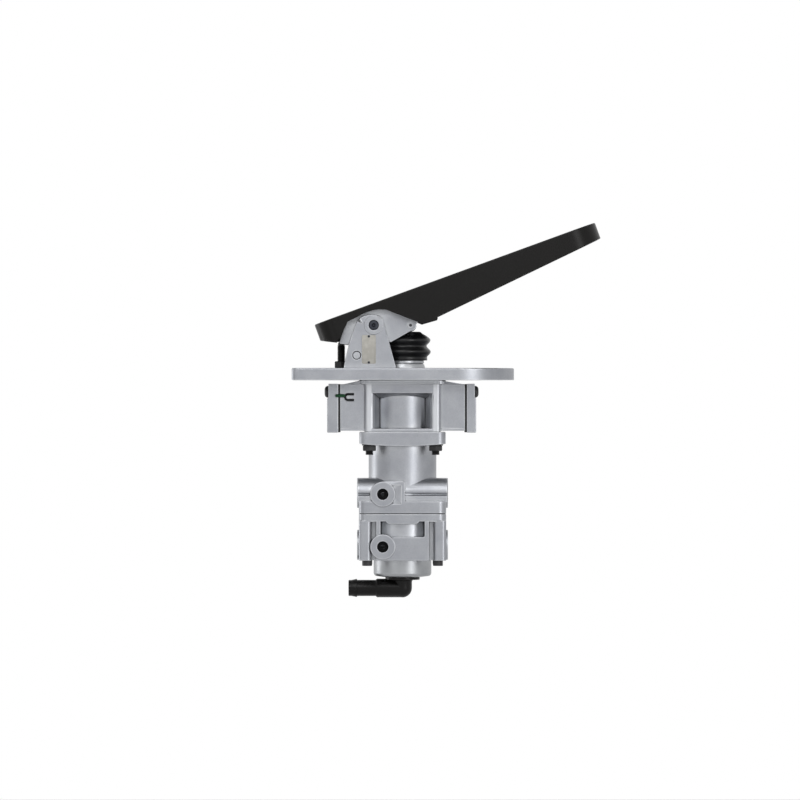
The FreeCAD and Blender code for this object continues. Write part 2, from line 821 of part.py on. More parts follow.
def make_mounting_plate():
    slab = slab_up(
        "plate_slab",
        [
            (-S.plate_heel_end, -S.plate_half_width),
            (S.plate_bow_place, -S.plate_half_width),
            (S.plate_bow_place + S.plate_half_width, 0, "via"),
            (S.plate_bow_place, S.plate_half_width),
            (-S.plate_heel_end, S.plate_half_width),
        ],
        0,
        PLATE_TOP,
    )
    heel_line = -S.plate_heel_end.value

    def heel_corner(edge):
        return upright(edge) and abs(edge.Vertexes[0].X - heel_line) < 1e-3

    ease(slab, "plate_corners", heel_corner, S.plate_corner)
    ease(slab, "plate_rim", at_height(PLATE_TOP.value), S.plate_rim_round)
    shoulder = (PIVOT_X - S.ear_shoulder_back, PIVOT_Z + S.ear_shoulder_rise)
    front_angle = S.ear_crown_front_angle
    top_angle = S.ear_crown_top_angle
    middle_angle = (front_angle + top_angle) / 2

    def crown(angle):
        return (PIVOT_X + S.ear_crown * cosine(angle), PIVOT_Z + S.ear_crown * sine(angle))

    ear_points = [
        (PIVOT_X - S.ear_foot_back, PLATE_TOP),
        (PIVOT_X - S.ear_waist_back, PIVOT_Z - S.ear_waist_drop, "via"),
        shoulder,
        (PIVOT_X - S.ear_shoulder_back + 3.4, PIVOT_Z + S.ear_brow_rise - 3.1, "via"),
        (PIVOT_X - S.ear_brow_back, PIVOT_Z + S.ear_brow_rise),
        crown(top_angle),
        (*crown(middle_angle), "via"),
        crown(front_angle),
        (PIVOT_X + S.ear_foot_front, PLATE_TOP),
    ]
    ears = []
    for side, low, high in (
        ("front", -EAR_OUT, -S.ear_gap_half),
        ("rear", S.ear_gap_half, EAR_OUT),
    ):
        ear = slab_across(f"{side}_ear", ear_points, low, high)
        outer = (low if side == "front" else high).value

        def outer_edge(edge, outer=outer):
            box = edge.BoundBox
            return abs(box.YMin - outer) < 1e-3 and abs(box.YMax - outer) < 1e-3 and box.ZMax > 13
        ease(ear, f"{side}_ear_edges", outer_edge, S.ear_edge_round)
        ears.append(ear)
    eye_at = (PIVOT_X, -EAR_OUT - S.ear_eye_proud, PIVOT_Z)
    eye = rod("ear_eye", S.ear_eye_round, 2 * (EAR_OUT + S.ear_eye_proud), eye_at, "Y")
    gap = block(
        "ear_eye_gap",
        (PIVOT_X - S.ear_eye_round, PIVOT_X + S.ear_eye_round),
        (-S.ear_gap_half, S.ear_gap_half),
        (PIVOT_Z - S.ear_eye_round, PIVOT_Z + S.ear_eye_round),
    )
    casting = join("plate_casting", slab, *ears, cut("ear_eyes", eye, gap))
    span = 2 * (EAR_OUT + S.ear_eye_proud)
    seat = S.deck_half + S.valve_seat_margin
    relief_body = slab_up("relief_slab", rectangle(S.relief_half_length, S.relief_half_width), 0, S.relief_depth)
    ease(relief_body, "relief_corners", upright, S.relief_corner)
    seat_body = slab_up("valve_seat", rectangle(seat, seat), 0, S.relief_depth)
    holes = [
        cut("underside_relief", relief_body, seat_body),
        rod("pivot_bore", S.pivot_dia / 2, span, eye_at, "Y"),
        rod(
            "cross_pin_bore",
            S.cross_pin_dia / 2 + S.cross_pin_air,
            2 * EAR_OUT,
            (PIVOT_X - S.cross_pin_back, -EAR_OUT, PIVOT_Z - S.cross_pin_drop),
            "Y",
        ),
        rod("guide_hole", S.guide_spigot_round, PLATE_TOP, (0, 0, 0)),
        rod("stop_hole", S.stop_bolt_dia / 2, PLATE_TOP, (-S.stop_back, 0, 0)),
    ]
    lead = S.pivot_lead_in
    for number, sign in enumerate((-1, 1)):
        face = sign * (EAR_OUT + S.ear_eye_proud)
        along = "Y" if sign < 0 else "-Y"
        start = S.pivot_dia / 2 + lead
        holes.append(
            cone(f"pivot_lead_{number}", start, S.pivot_dia / 2, lead, (PIVOT_X, face, PIVOT_Z), along)
        )
    for number, (x, y) in enumerate(corners_of(S.stud_half_pitch)):
        holes.append(rod(f"stud_hole_{number}", S.stud_dia / 2, S.stud_bite, (x, y, 0)))
    for number, (sx, sy) in enumerate((sx, sy) for sx in (-1, 1) for sy in (-1, 1)):
        at = (sx * S.fixing_half_length, sy * S.fixing_half_width, 0)
        holes.append(rod(f"fixing_hole_{number}", S.fixing_hole_dia / 2, PLATE_TOP, at))
    for number, sign in enumerate((-1, 1)):
        at = (
            PIVOT_X - S.type_plate_back,
            -EAR_OUT,
            PIVOT_Z - S.type_plate_drop + sign * S.rivet_pitch / 2,
        )
        holes.append(rod(f"rivet_hole_{number}", S.rivet_shank_dia / 2, S.rivet_shank_length, at, "Y"))
    keep("mounting_plate", cut("plate_finished", casting, *holes))


def make_type_plate():
    centre_x = PIVOT_X - S.type_plate_back
    centre_z = PIVOT_Z - S.type_plate_drop
    plate = block(
        "type_plate_blank",
        (centre_x - S.type_plate_width / 2, centre_x + S.type_plate_width / 2),
        (-EAR_OUT - S.type_plate_thick, -EAR_OUT),
        (centre_z - S.type_plate_height / 2, centre_z + S.type_plate_height / 2),
    )
    holes = []
    rivets = []
    for number, sign in enumerate((-1, 1)):
        z = centre_z + sign * S.rivet_pitch / 2
        face = -EAR_OUT - S.type_plate_thick
        shank_length = S.rivet_shank_length + S.type_plate_thick
        shank_at = (centre_x, face, z)
        holes.append(rod(f"type_plate_hole_{number}", S.rivet_shank_dia / 2, S.type_plate_thick, shank_at, "Y"))
        head = cone(
            f"rivet_head_{number}",
            S.rivet_head_dia / 2,
            S.rivet_head_dia / 3,
            S.rivet_head_proud,
            shank_at,
            "-Y",
        )
        shank = rod(f"rivet_shank_{number}", S.rivet_shank_dia / 2, shank_length, shank_at, "Y")
        rivets.append(join(f"rivet_{number}", head, shank))
    keep("type_plate", cut("type_plate_punched", plate, *holes))
    keep("type_plate_rivets", group("rivet_pair", *rivets))


def make_pivot_pin():
    reach = EAR_OUT - S.rest_air
    pin = rod("pivot_pin_bar", S.pivot_dia / 2, 2 * reach, (PIVOT_X, -reach, PIVOT_Z), "Y")
    inner = S.pivot_dia / 2 - S.clip_groove_depth
    grooves = []
    clips = []
    for number, sign in enumerate((-1, 1)):
        near = S.ear_gap_half - S.clip_air - S.clip_thick
        y = near if sign > 0 else -near - S.clip_thick
        at = (PIVOT_X, y, PIVOT_Z)
        band = rod(f"clip_band_{number}", S.pivot_dia / 2, S.clip_thick, at, "Y")
        core = rod(f"clip_core_{number}", inner, S.clip_thick, at, "Y")
        grooves.append(cut(f"clip_groove_{number}", band, core))
        disc = rod(f"clip_disc_{number}", S.pivot_dia / 2 + S.clip_rim, S.clip_thick, at, "Y")
        eye = rod(f"clip_eye_{number}", inner, S.clip_thick, at, "Y")
        mouth = block(
            f"clip_mouth_{number}",
            (PIVOT_X - inner, PIVOT_X + inner),
            (y, y + S.clip_thick),
            (PIVOT_Z - S.pivot_dia, PIVOT_Z),
        )
        clips.append(cut(f"clip_{number}", disc, eye, mouth))
    keep("pivot_pin", cut("pivot_pin_grooved", pin, *grooves))
    keep("pivot_pin_clips", group("pivot_clip_pair", *clips))


def make_cross_pin():
    at = (PIVOT_X - S.cross_pin_back, -EAR_OUT, PIVOT_Z - S.cross_pin_drop)
    bar = rod("cross_pin_bar", S.cross_pin_dia / 2, 2 * EAR_OUT, at, "Y")
    shoulders = []
    for number, sign in enumerate((-1, 1)):
        y = -EAR_OUT + 2 if sign < 0 else S.ear_gap_half + 2
        place_at = (PIVOT_X - S.cross_pin_back, y, PIVOT_Z - S.cross_pin_drop)
        shoulders.append(
            rod(f"cross_pin_land_{number}", S.cross_pin_dia / 2 + S.cross_pin_air, S.ear_thick - 4, place_at, "Y")
        )
    keep("cross_pin", join("cross_pin_whole", bar, *shoulders))


def make_stop():
    top = PLATE_TOP + S.stop_bolt_height
    half = S.stop_bolt_dia / 2
    bolt = turned(
        "stop_bolt_turned",
        [
            (0, 1),
            (half, 1),
            (half, top - S.stop_tip_round),
            (half - S.stop_tip_round, top),
            (0, top),
        ],
    )
    place(bolt, -S.stop_back, 0, 0)
    keep("stop_bolt", bolt)
    nut = hexagon("stop_nut_hex", S.nut_across, S.stop_nut_height, (-S.stop_back, 0, PLATE_TOP))
    bore = rod("stop_nut_bore", half, S.stop_nut_height, (-S.stop_back, 0, PLATE_TOP))
    keep("stop_nut", cut("stop_nut_bored", nut, bore))


def skirt_points():
    """The side view of the tread in the pedal's own frame."""
    top = S.tread_top
    tip = S.tread_length - S.tread_heel
    return [
        (-S.tread_heel, top),
        (tip, top),
        (tip, top - S.tread_end_depth),
        (S.skirt_deep_place, top - S.skirt_deep),
        (S.skirt_deep_place - 1, top - S.skirt_lug_deep),
        (S.skirt_lug_place, top - S.skirt_lug_deep + 1),
        (S.skirt_throat_place, top - S.skirt_throat),
        (S.arch_front, top - S.arch_front_depth),
        (S.arch_front / 8, top - S.arch_crown_depth, "via"),
        (-S.arch_back, top - S.arch_back_depth),
        (-S.arch_foot_back, top - S.arch_foot_depth),
        (-S.heel_notch_back, top - S.heel_notch_depth),
        (-S.heel_lip_back, top - S.heel_lip_depth),
        (-S.tread_heel, top - S.tread_end_depth),
    ]


def make_treadle():
    tip = S.tread_length - S.tread_heel
    top = S.tread_top
    shell = slab_across("tread_shell", skirt_points(), -S.tread_half_width, S.tread_half_width)
    tip_line = tip.value
    heel_line = -S.tread_heel.value

    def end_corner(line):
        def test(edge):
            return upright(edge) and abs(edge.Vertexes[0].X - line) < 1e-3
        return test

    ease(shell, "tread_tip_corners", end_corner(tip_line), S.tread_tip_round)
    ease(shell, "tread_heel_corners", end_corner(heel_line), S.tread_heel_round)
    ease(shell, "tread_top_edge", at_height(top.value), S.tread_edge_round)
    wall = S.tread_wall
    inside = slab_across(
        "tread_hollow",
        [
            (-S.tread_heel + wall, top - S.tread_roof),
            (tip - wall, top - S.tread_roof),
            (tip - wall, top - 2 * S.skirt_deep),
            (-S.tread_heel + wall, top - 2 * S.skirt_deep),
        ],
        -S.tread_half_width + wall,
        S.tread_half_width - wall,
    )
    ease(inside, "hollow_tip_corners", end_corner(tip_line - wall.value), S.tread_tip_round - wall)
    ease(inside, "hollow_heel_corners", end_corner(heel_line + wall.value), S.tread_heel_round - wall)
    ribs = []
    roof = top - S.tread_roof + 1
    tip_rib = top - S.tread_end_depth + S.rib_short
    deep_rib = top - S.skirt_deep + S.rib_short
    long_points = [
        (S.rib_start, roof),
        (tip - wall / 2, roof),
        (tip - wall / 2, tip_rib),
        (S.skirt_deep_place, deep_rib),
        (S.rib_start, deep_rib),
    ]
    for number, sign in enumerate((-1, 1)):
        middle = sign * S.rib_half_pitch
        ribs.append(
            slab_across(f"long_rib_{number}", long_points, middle - S.rib_thick / 2, middle + S.rib_thick / 2)
        )
    fall = (S.skirt_deep - S.tread_end_depth) / (tip - S.skirt_deep_place)
    for number in range(4):
        along = S.cross_rib_first + number * S.cross_rib_pitch
        low = deep_rib + (along - S.skirt_deep_place) * fall
        ribs.append(
            block(
                f"cross_rib_{number}",
                (along - S.rib_thick / 2, along + S.rib_thick / 2),
                (-S.tread_half_width + wall / 2, S.tread_half_width - wall / 2),
                (low, roof),
            )
        )
    ribs.append(
        block(
            "rib_head",
            (S.rib_start - S.rib_thick / 2, S.rib_start + S.rib_thick / 2),
            (-S.tread_half_width + wall / 2, S.tread_half_width - wall / 2),
            (deep_rib, roof),
        )
    )
    hollowed = join("tread_ribbed", cut("tread_hollowed", shell, inside), *ribs)
    recess = pad_solid("tread_recess", 0, S.pad_recess + 1)
    tools = [recess]
    for number, (along, y) in enumerate(lever_screw_places()):
        at = (along, y, top - S.tread_roof - 1)
        tools.append(rod(f"tread_screw_hole_{number}", S.lever_screw_dia / 2, S.tread_roof, at))
    pedal = cut("tread_drilled", hollowed, *tools)
    tilt_pedal_piece(pedal)
    stop_top = PLATE_TOP + S.stop_bolt_height + S.stop_air
    boss_left = -S.stop_back - S.stop_boss_half_length
    boss_right = -S.stop_back + S.stop_boss_half_length
    boss_top = top - S.tread_roof + 1

    def roof_at(x):
        along = (x - PIVOT_X + boss_top * SIN_TILT) / COS_TILT
        return on_pedal(along, boss_top)[1]

    boss = slab_across(
        "stop_boss",
        [
            (boss_left, stop_top),
            (boss_right, stop_top),
            (boss_right, roof_at(boss_right)),
            (boss_left, roof_at(boss_left)),
        ],
        -S.stop_boss_half_width,
        S.stop_boss_half_width,
    )
    keep("pedal_treadle", join("treadle_finished", pedal, boss))


def lever_screw_places():
    return [
        (along, sign * S.lever_screw_half_pitch)
        for along in (-S.lever_screw_back, S.lever_screw_front)
        for sign in (-1, 1)
    ]


def pad_solid(name, inset, height):
    """The rubber pad's outline on the tread, smaller by an inset all round."""
    margin = S.pad_margin + inset
    start = -S.tread_heel + S.pad_start + inset
    end = S.tread_length - S.tread_heel - margin
    half = S.tread_half_width - margin
    low = S.tread_top - S.pad_recess
    body = slab_up(
        name,
        [(start, -half), (end, -half), (end, half), (start, half)],
        low,
        low + height,
    )
    end_line = end.value

    def tip_corner(edge):
        return upright(edge) and abs(edge.Vertexes[0].X - end_line) < 1e-3

    ease(body, f"{name}_corners", tip_corner, S.tread_tip_round - margin)
    return body


def make_tread_pad():
    slab = pad_solid("tread_pad_slab", S.pad_air, S.pad_recess)
    start = -S.tread_heel + S.pad_start + S.pad_groove_inset
    half = S.tread_half_width - S.pad_margin - S.pad_groove_inset / 2
    length = SIZES["tread_length"] - SIZES["pad_start"] - 2 * SIZES["pad_groove_inset"]
    count = int(length / SIZES["pad_groove_pitch"])
    grooves = []
    for number in range(count):
        along = start + number * S.pad_groove_pitch
        grooves.append(
            block(
                f"pad_groove_{number}",
                (along, along + S.pad_groove_width),
                (-half, half),
                (S.tread_top - S.pad_groove, S.tread_top + 1),
            )
        )
    keep("tread_pad", tilt_pedal_piece(cut("tread_pad_grooved", slab, *grooves)))


def make_lever():
    ceiling = S.tread_top - S.tread_roof
    inner = S.lever_half_width - S.cheek_thick
    cheek_points = [
        (-S.cheek_foot_back, -S.cheek_foot_drop),
        (-S.cheek_heel_back, -S.cheek_heel_drop),
        (-S.cheek_throat_back, -S.cheek_throat_drop),
        (-S.hub_round, -S.hub_round),
        (S.cheek_belly_front, -S.cheek_belly_drop),
        (S.cheek_chin_front, -S.cheek_chin_drop),
        (S.cheek_tip_front - 1.6, -S.cheek_chin_drop + 1.4, "via"),
        (S.cheek_tip_front, -S.cheek_tip_drop),
        (S.cheek_brow_front, -S.cheek_brow_drop),
        (S.flange_front, ceiling),
        (-S.arch_foot_back, ceiling),
        (-S.heel_notch_back, S.tread_top - S.heel_notch_depth),
        (-S.cheek_foot_back + 1, -S.cheek_foot_drop + S.cheek_foot_step),
    ]
    pieces = []
    for side, low, high in (
        ("front", -S.lever_half_width, -inner),
        ("rear", inner, S.lever_half_width),
    ):
        pieces.append(slab_across(f"{side}_cheek", cheek_points, low, high))
    pieces.append(
        block(
            "lever_flange",
            (-S.flange_back, S.flange_front),
            (-S.lever_half_width, S.lever_half_width),
            (ceiling - S.flange_thick, ceiling),
        )
    )
    width = 2 * S.lever_half_width
    pieces.append(rod("lever_hub", S.hub_round, width, (0, -S.lever_half_width, 0), "Y"))
    pieces.append(
        block(
            "lever_web",
            (-S.cheek_thick / 2, S.cheek_thick / 2),
            (-inner, inner),
            (S.hub_round - 1, ceiling),
        )
    )
    fork_in = S.roller_half_width + S.roller_side_air
    for number, sign in enumerate((-1, 1)):
        low = fork_in if sign > 0 else -fork_in - S.fork_thick
        round_end = rod(
            f"fork_end_{number}", S.fork_round, S.fork_thick, (S.roller_along, low, -S.roller_drop), "Y"
        )
        arm_points = [
            (S.roller_along - S.fork_round, -S.roller_drop),
            (S.roller_along + S.fork_round, -S.roller_drop),
            (S.flange_front, ceiling),
            (S.flange_front - 4 * S.fork_round, ceiling),
        ]
        arm = slab_across(f"fork_arm_{number}", arm_points, low, low + S.fork_thick)
        pieces.append(round_end)
        pieces.append(arm)
    bush_out = S.pivot_dia / 2 + S.running_fit + S.bush_wall
    pin_at = (S.roller_along, -S.lever_half_width, -S.roller_drop)
    tools = [
        rod("hub_bore", bush_out, width, (0, -S.lever_half_width, 0), "Y"),
        rod("roller_pin_bore", S.roller_pin_dia / 2, width, pin_at, "Y"),
    ]
    for number, (along, y) in enumerate(lever_screw_places()):
        at = (along, y, ceiling - S.flange_thick)
        tools.append(rod(f"lever_screw_hole_{number}", S.lever_screw_dia / 2, S.flange_thick, at))
    keep("pedal_lever", tilt_pedal_piece(cut("lever_finished", join("lever_casting", *pieces), *tools)))

    bushes = []
    for number, sign in enumerate((-1, 1)):
        low = S.lever_half_width - S.bush_length if sign > 0 else -S.lever_half_width
        at = (0, low, 0)
        outer = rod(f"lever_bush_out_{number}", bush_out, S.bush_length, at, "Y")
        inner_rod = rod(
            f"lever_bush_in_{number}", S.pivot_dia / 2 + S.running_fit, S.bush_length, at, "Y"
        )
        bushes.append(cut(f"lever_bush_{number}", outer, inner_rod))
    keep("lever_bushes", tilt_pedal_piece(group("lever_bush_pair", *bushes)))

    screws = []
    for number, (along, y) in enumerate(lever_screw_places()):
        face = ceiling - S.flange_thick
        shank_length = S.flange_thick + S.lever_screw_bite
        shank = rod(f"lever_shank_{number}", S.lever_screw_dia / 2, shank_length, (along, y, face))
        head = cone(
            f"lever_head_{number}",
            S.lever_screw_head_dia / 2,
            S.lever_screw_head_dia / 3,
            S.lever_screw_head,
            (along, y, face),
            "-Z",
        )
        screws.append(join(f"lever_screw_{number}", shank, head))
    keep("lever_screws", tilt_pedal_piece(group("lever_screw_set", *screws)))


def make_roller():
    reach = S.lever_half_width
    at = (S.roller_along, -reach, -S.roller_drop)
    bar = rod("roller_pin_bar", S.roller_pin_dia / 2, 2 * reach, at, "Y")
    eyes = []
    for number, sign in enumerate((-1, 1)):
        along = "Y" if sign < 0 else "-Y"
        eye_at = (S.roller_along, sign * reach, -S.roller_drop)
        eyes.append(rod(f"roller_pin_eye_{number}", S.roller_pin_eye / 2, S.roller_pin_eye_depth, eye_at, along))
    keep("roller_pin", tilt_pedal_piece(cut("roller_pin_drilled", bar, *eyes)))
    wheel_at = (S.roller_along, -S.roller_half_width, -S.roller_drop)
    width = 2 * S.roller_half_width
    wheel = rod("roller_rim", S.roller_dia / 2, width, wheel_at, "Y")
    bore = rod("roller_bore", S.roller_pin_dia / 2 + S.running_fit, width, wheel_at, "Y")
    keep("roller", tilt_pedal_piece(cut("roller_wheel", wheel, bore)))


def make_plunger():
    under_cap = PLUNGER_TOP - S.cap_thick
    edge = S.cap_edge
    cap = turned(
        "plunger_cap_turned",
        [
            (0, under_cap),
            (S.cap_round, under_cap),
            (S.cap_round, PLUNGER_TOP - edge),
            (S.cap_round - edge, PLUNGER_TOP),
            (0, PLUNGER_TOP),
        ],
    )
    keep("plunger_cap", cap)
    plate_top = -S.guide_spigot_drop - S.rest_air
    plate_low = plate_top - S.spring_plate_thick
    half = S.plunger_dia / 2
    stem = turned(
        "plunger_turned",
        [
            (0, plate_low),
            (S.spring_plate_round, plate_low),
            (S.spring_plate_round, plate_top),
            (half, plate_top),
            (half, under_cap),
            (0, under_cap),
        ],
    )
    keep("plunger", stem)
    fit = half + S.running_fit
    bush_out = fit + S.guide_bush_wall
    bush_top = COLLAR_TOP + S.guide_neck_height
    bush_low = bush_top - S.guide_bush_length
    bush = turned(
        "guide_bush_turned",
        [(fit, bush_low), (bush_out, bush_low), (bush_out, bush_top), (fit, bush_top)],
    )
    keep("guide_bush", bush)
    base_top = PLATE_TOP + S.guide_base_height
    guide = turned(
        "guide_turned",
        [
            (bush_out, -S.guide_spigot_drop),
            (S.guide_spigot_round, -S.guide_spigot_drop),
            (S.guide_spigot_round, PLATE_TOP),
            (S.guide_base_round, PLATE_TOP),
            (S.guide_collar_round, base_top),
            (S.guide_collar_round - S.guide_groove, base_top),
            (S.guide_collar_round - S.guide_groove, base_top + S.guide_groove),
            (S.guide_collar_round, base_top + S.guide_groove),
            (S.guide_collar_round, COLLAR_TOP),
            (S.guide_neck_round, COLLAR_TOP),
            (S.guide_neck_round, bush_top),
            (bush_out, bush_top),
        ],
    )
    keep("plunger_guide", guide)


def make_boot():
    """The bellows, as a closed wall of constant thickness."""
    wall = S.boot_wall
    low = COLLAR_TOP
    lip_top = low + S.boot_lip_height
    low_fold = low + S.boot_low_fold
    waist = low + S.boot_waist
    high_fold = low + S.boot_high_fold
    flat = S.boot_fold_flat
    roof = PLUNGER_TOP
    inner_lip = S.guide_neck_round + S.seat_air
    hold = S.cap_round
    boot = turned(
        "boot_turned",
        [
            (inner_lip, low),
            (S.boot_lip_round, low),
            (S.boot_lip_round, lip_top),
            (S.boot_fold_round, low_fold - flat),
            (S.boot_fold_round, low_fold + flat),
            (S.boot_waist_round, waist),
            (S.boot_fold_round - 0.4, high_fold - flat),
            (S.boot_fold_round - 0.4, high_fold + flat),
            (S.boot_top_round, roof - S.cap_edge),
            (hold, roof - S.cap_edge),
            (hold, roof - S.cap_edge - wall),
            (S.boot_top_round - wall, roof - S.cap_edge - wall),
            (S.boot_fold_round - 2 * wall, high_fold),
            (S.boot_waist_round - wall, waist),
            (S.boot_fold_round - 2 * wall, low_fold),
            (inner_lip, lip_top - wall),
        ],
    )
    keep("boot", boot)


def make_upper_housing():
    half = S.block_half
    deck = slab_up("deck_slab", rectangle(S.deck_half, S.deck_half_width), -S.deck_thick, 0)
    ease(deck, "deck_corners", upright, S.deck_corner)
    core = slab_up("core_slab", rectangle(half, half), BLOCK_LOW, -S.deck_thick)
    ease(core, "core_corners", upright, S.block_corner)
    wing_points = [
        (half - 2, -S.wing_neck_half_width),
        (S.wing_crease, -S.wing_half_width),
        (S.wing_reach, -S.wing_half_width),
        (S.wing_reach, S.wing_half_width),
        (S.wing_crease, S.wing_half_width),
        (half - 2, S.wing_neck_half_width),
    ]
    right_wing = slab_up("right_wing", wing_points, -S.wing_bottom, -S.wing_top)
    left_wing = mirrored("left_wing", right_wing, FreeCAD.Vector(1, 0, 0))
    windows = []
    for side in (-1, 1):
        name = "front" if side < 0 else "rear"
        face = side * half
        floor = side * (half - S.window_depth)
        windows.append(window_tool(f"{name}_window", face, floor))
    open_shell = cut("housing_windows", join("housing_mass", deck, core, right_wing, left_wing), *windows)
    mouth_x = S.window_half.value
    mouth_y = half.value

    def mouth_edge(edge):
        ends = [vertex.Point for vertex in edge.Vertexes]
        if not upright(edge):
            return False
        return abs(abs(ends[0].x) - mouth_x) < 1e-3 and abs(abs(ends[0].y) - mouth_y) < 1e-3

    shell = rounded("window_mouths_eased", open_shell, mouth_edge, S.window_mouth_round)
    barrel_low = -S.window_bottom - 1
    barrel_top = -S.window_top + 1
    barrel = rod("housing_barrel", S.barrel_round, barrel_top - barrel_low, (0, 0, barrel_low))
    mass = join("housing_casting", shell, barrel)
    cavity_depth = S.block_bottom - S.cavity_roof
    tools = [
        rod("spring_cavity", S.spring_cavity_round, cavity_depth, (0, 0, BLOCK_LOW)),
        rod("guide_way", S.guide_spigot_round, S.cavity_roof, (0, 0, -S.cavity_roof)),
    ]
    stud_hole = S.stud_dia / 2 + S.stud_air
    for number, (x, y) in enumerate(corners_of(S.stud_half_pitch)):
        tools.append(rod(f"housing_stud_hole_{number}", stud_hole, S.block_bottom, (x, y, BLOCK_LOW)))
    for side in (-1, 1):
        name = "left" if side < 0 else "right"
        reach = side * S.wing_reach
        back = side * (S.wing_reach - S.chamber_depth)
        low, high = (reach, back) if side < 0 else (back, reach)
        tools.append(
            block(
                f"{name}_chamber",
                (low, high),
                (-S.chamber_half_width, S.chamber_half_width),
                (-S.chamber_bottom, -S.chamber_top),
            )
        )
        for number, sign in enumerate((-1, 1)):
            at = (reach, sign * S.cover_screw_half_pitch, -S.cover_screw_drop)
            along = "X" if side < 0 else "-X"
            tools.append(
                rod(f"{name}_wing_screw_hole_{number}", S.cover_screw_dia / 2, S.cover_screw_bite, at, along)
            )
    keep("upper_housing", cut("housing_finished", mass, *tools))


def window_tool(name, face, floor):
    """The sloped pocket of a window, from the block's face in to its floor."""
    body = new_body(name)
    wide = outline(
        body,
        f"{name}_mouth",
        "XZ_Plane",
        [
            (-S.window_half, -S.window_bottom),
            (S.window_half, -S.window_bottom),
            (S.window_half, -S.window_top),
            (-S.window_half, -S.window_top),
        ],
        -face,
    )
    narrow = outline(
        body,
        f"{name}_floor",
        "XZ_Plane",
        [
            (-S.window_floor_half, -S.window_bottom),
            (S.window_floor_half, -S.window_bottom),
            (S.window_floor_half, -S.window_top - S.window_floor_drop),
            (-S.window_floor_half, -S.window_top - S.window_floor_drop),
        ],
        -floor,
    )
    loft = body.newObject("PartDesign::AdditiveLoft", f"{name}_loft")
    loft.Profile = wide
    loft.Sections = [narrow]
    loft.Ruled = True
    return body


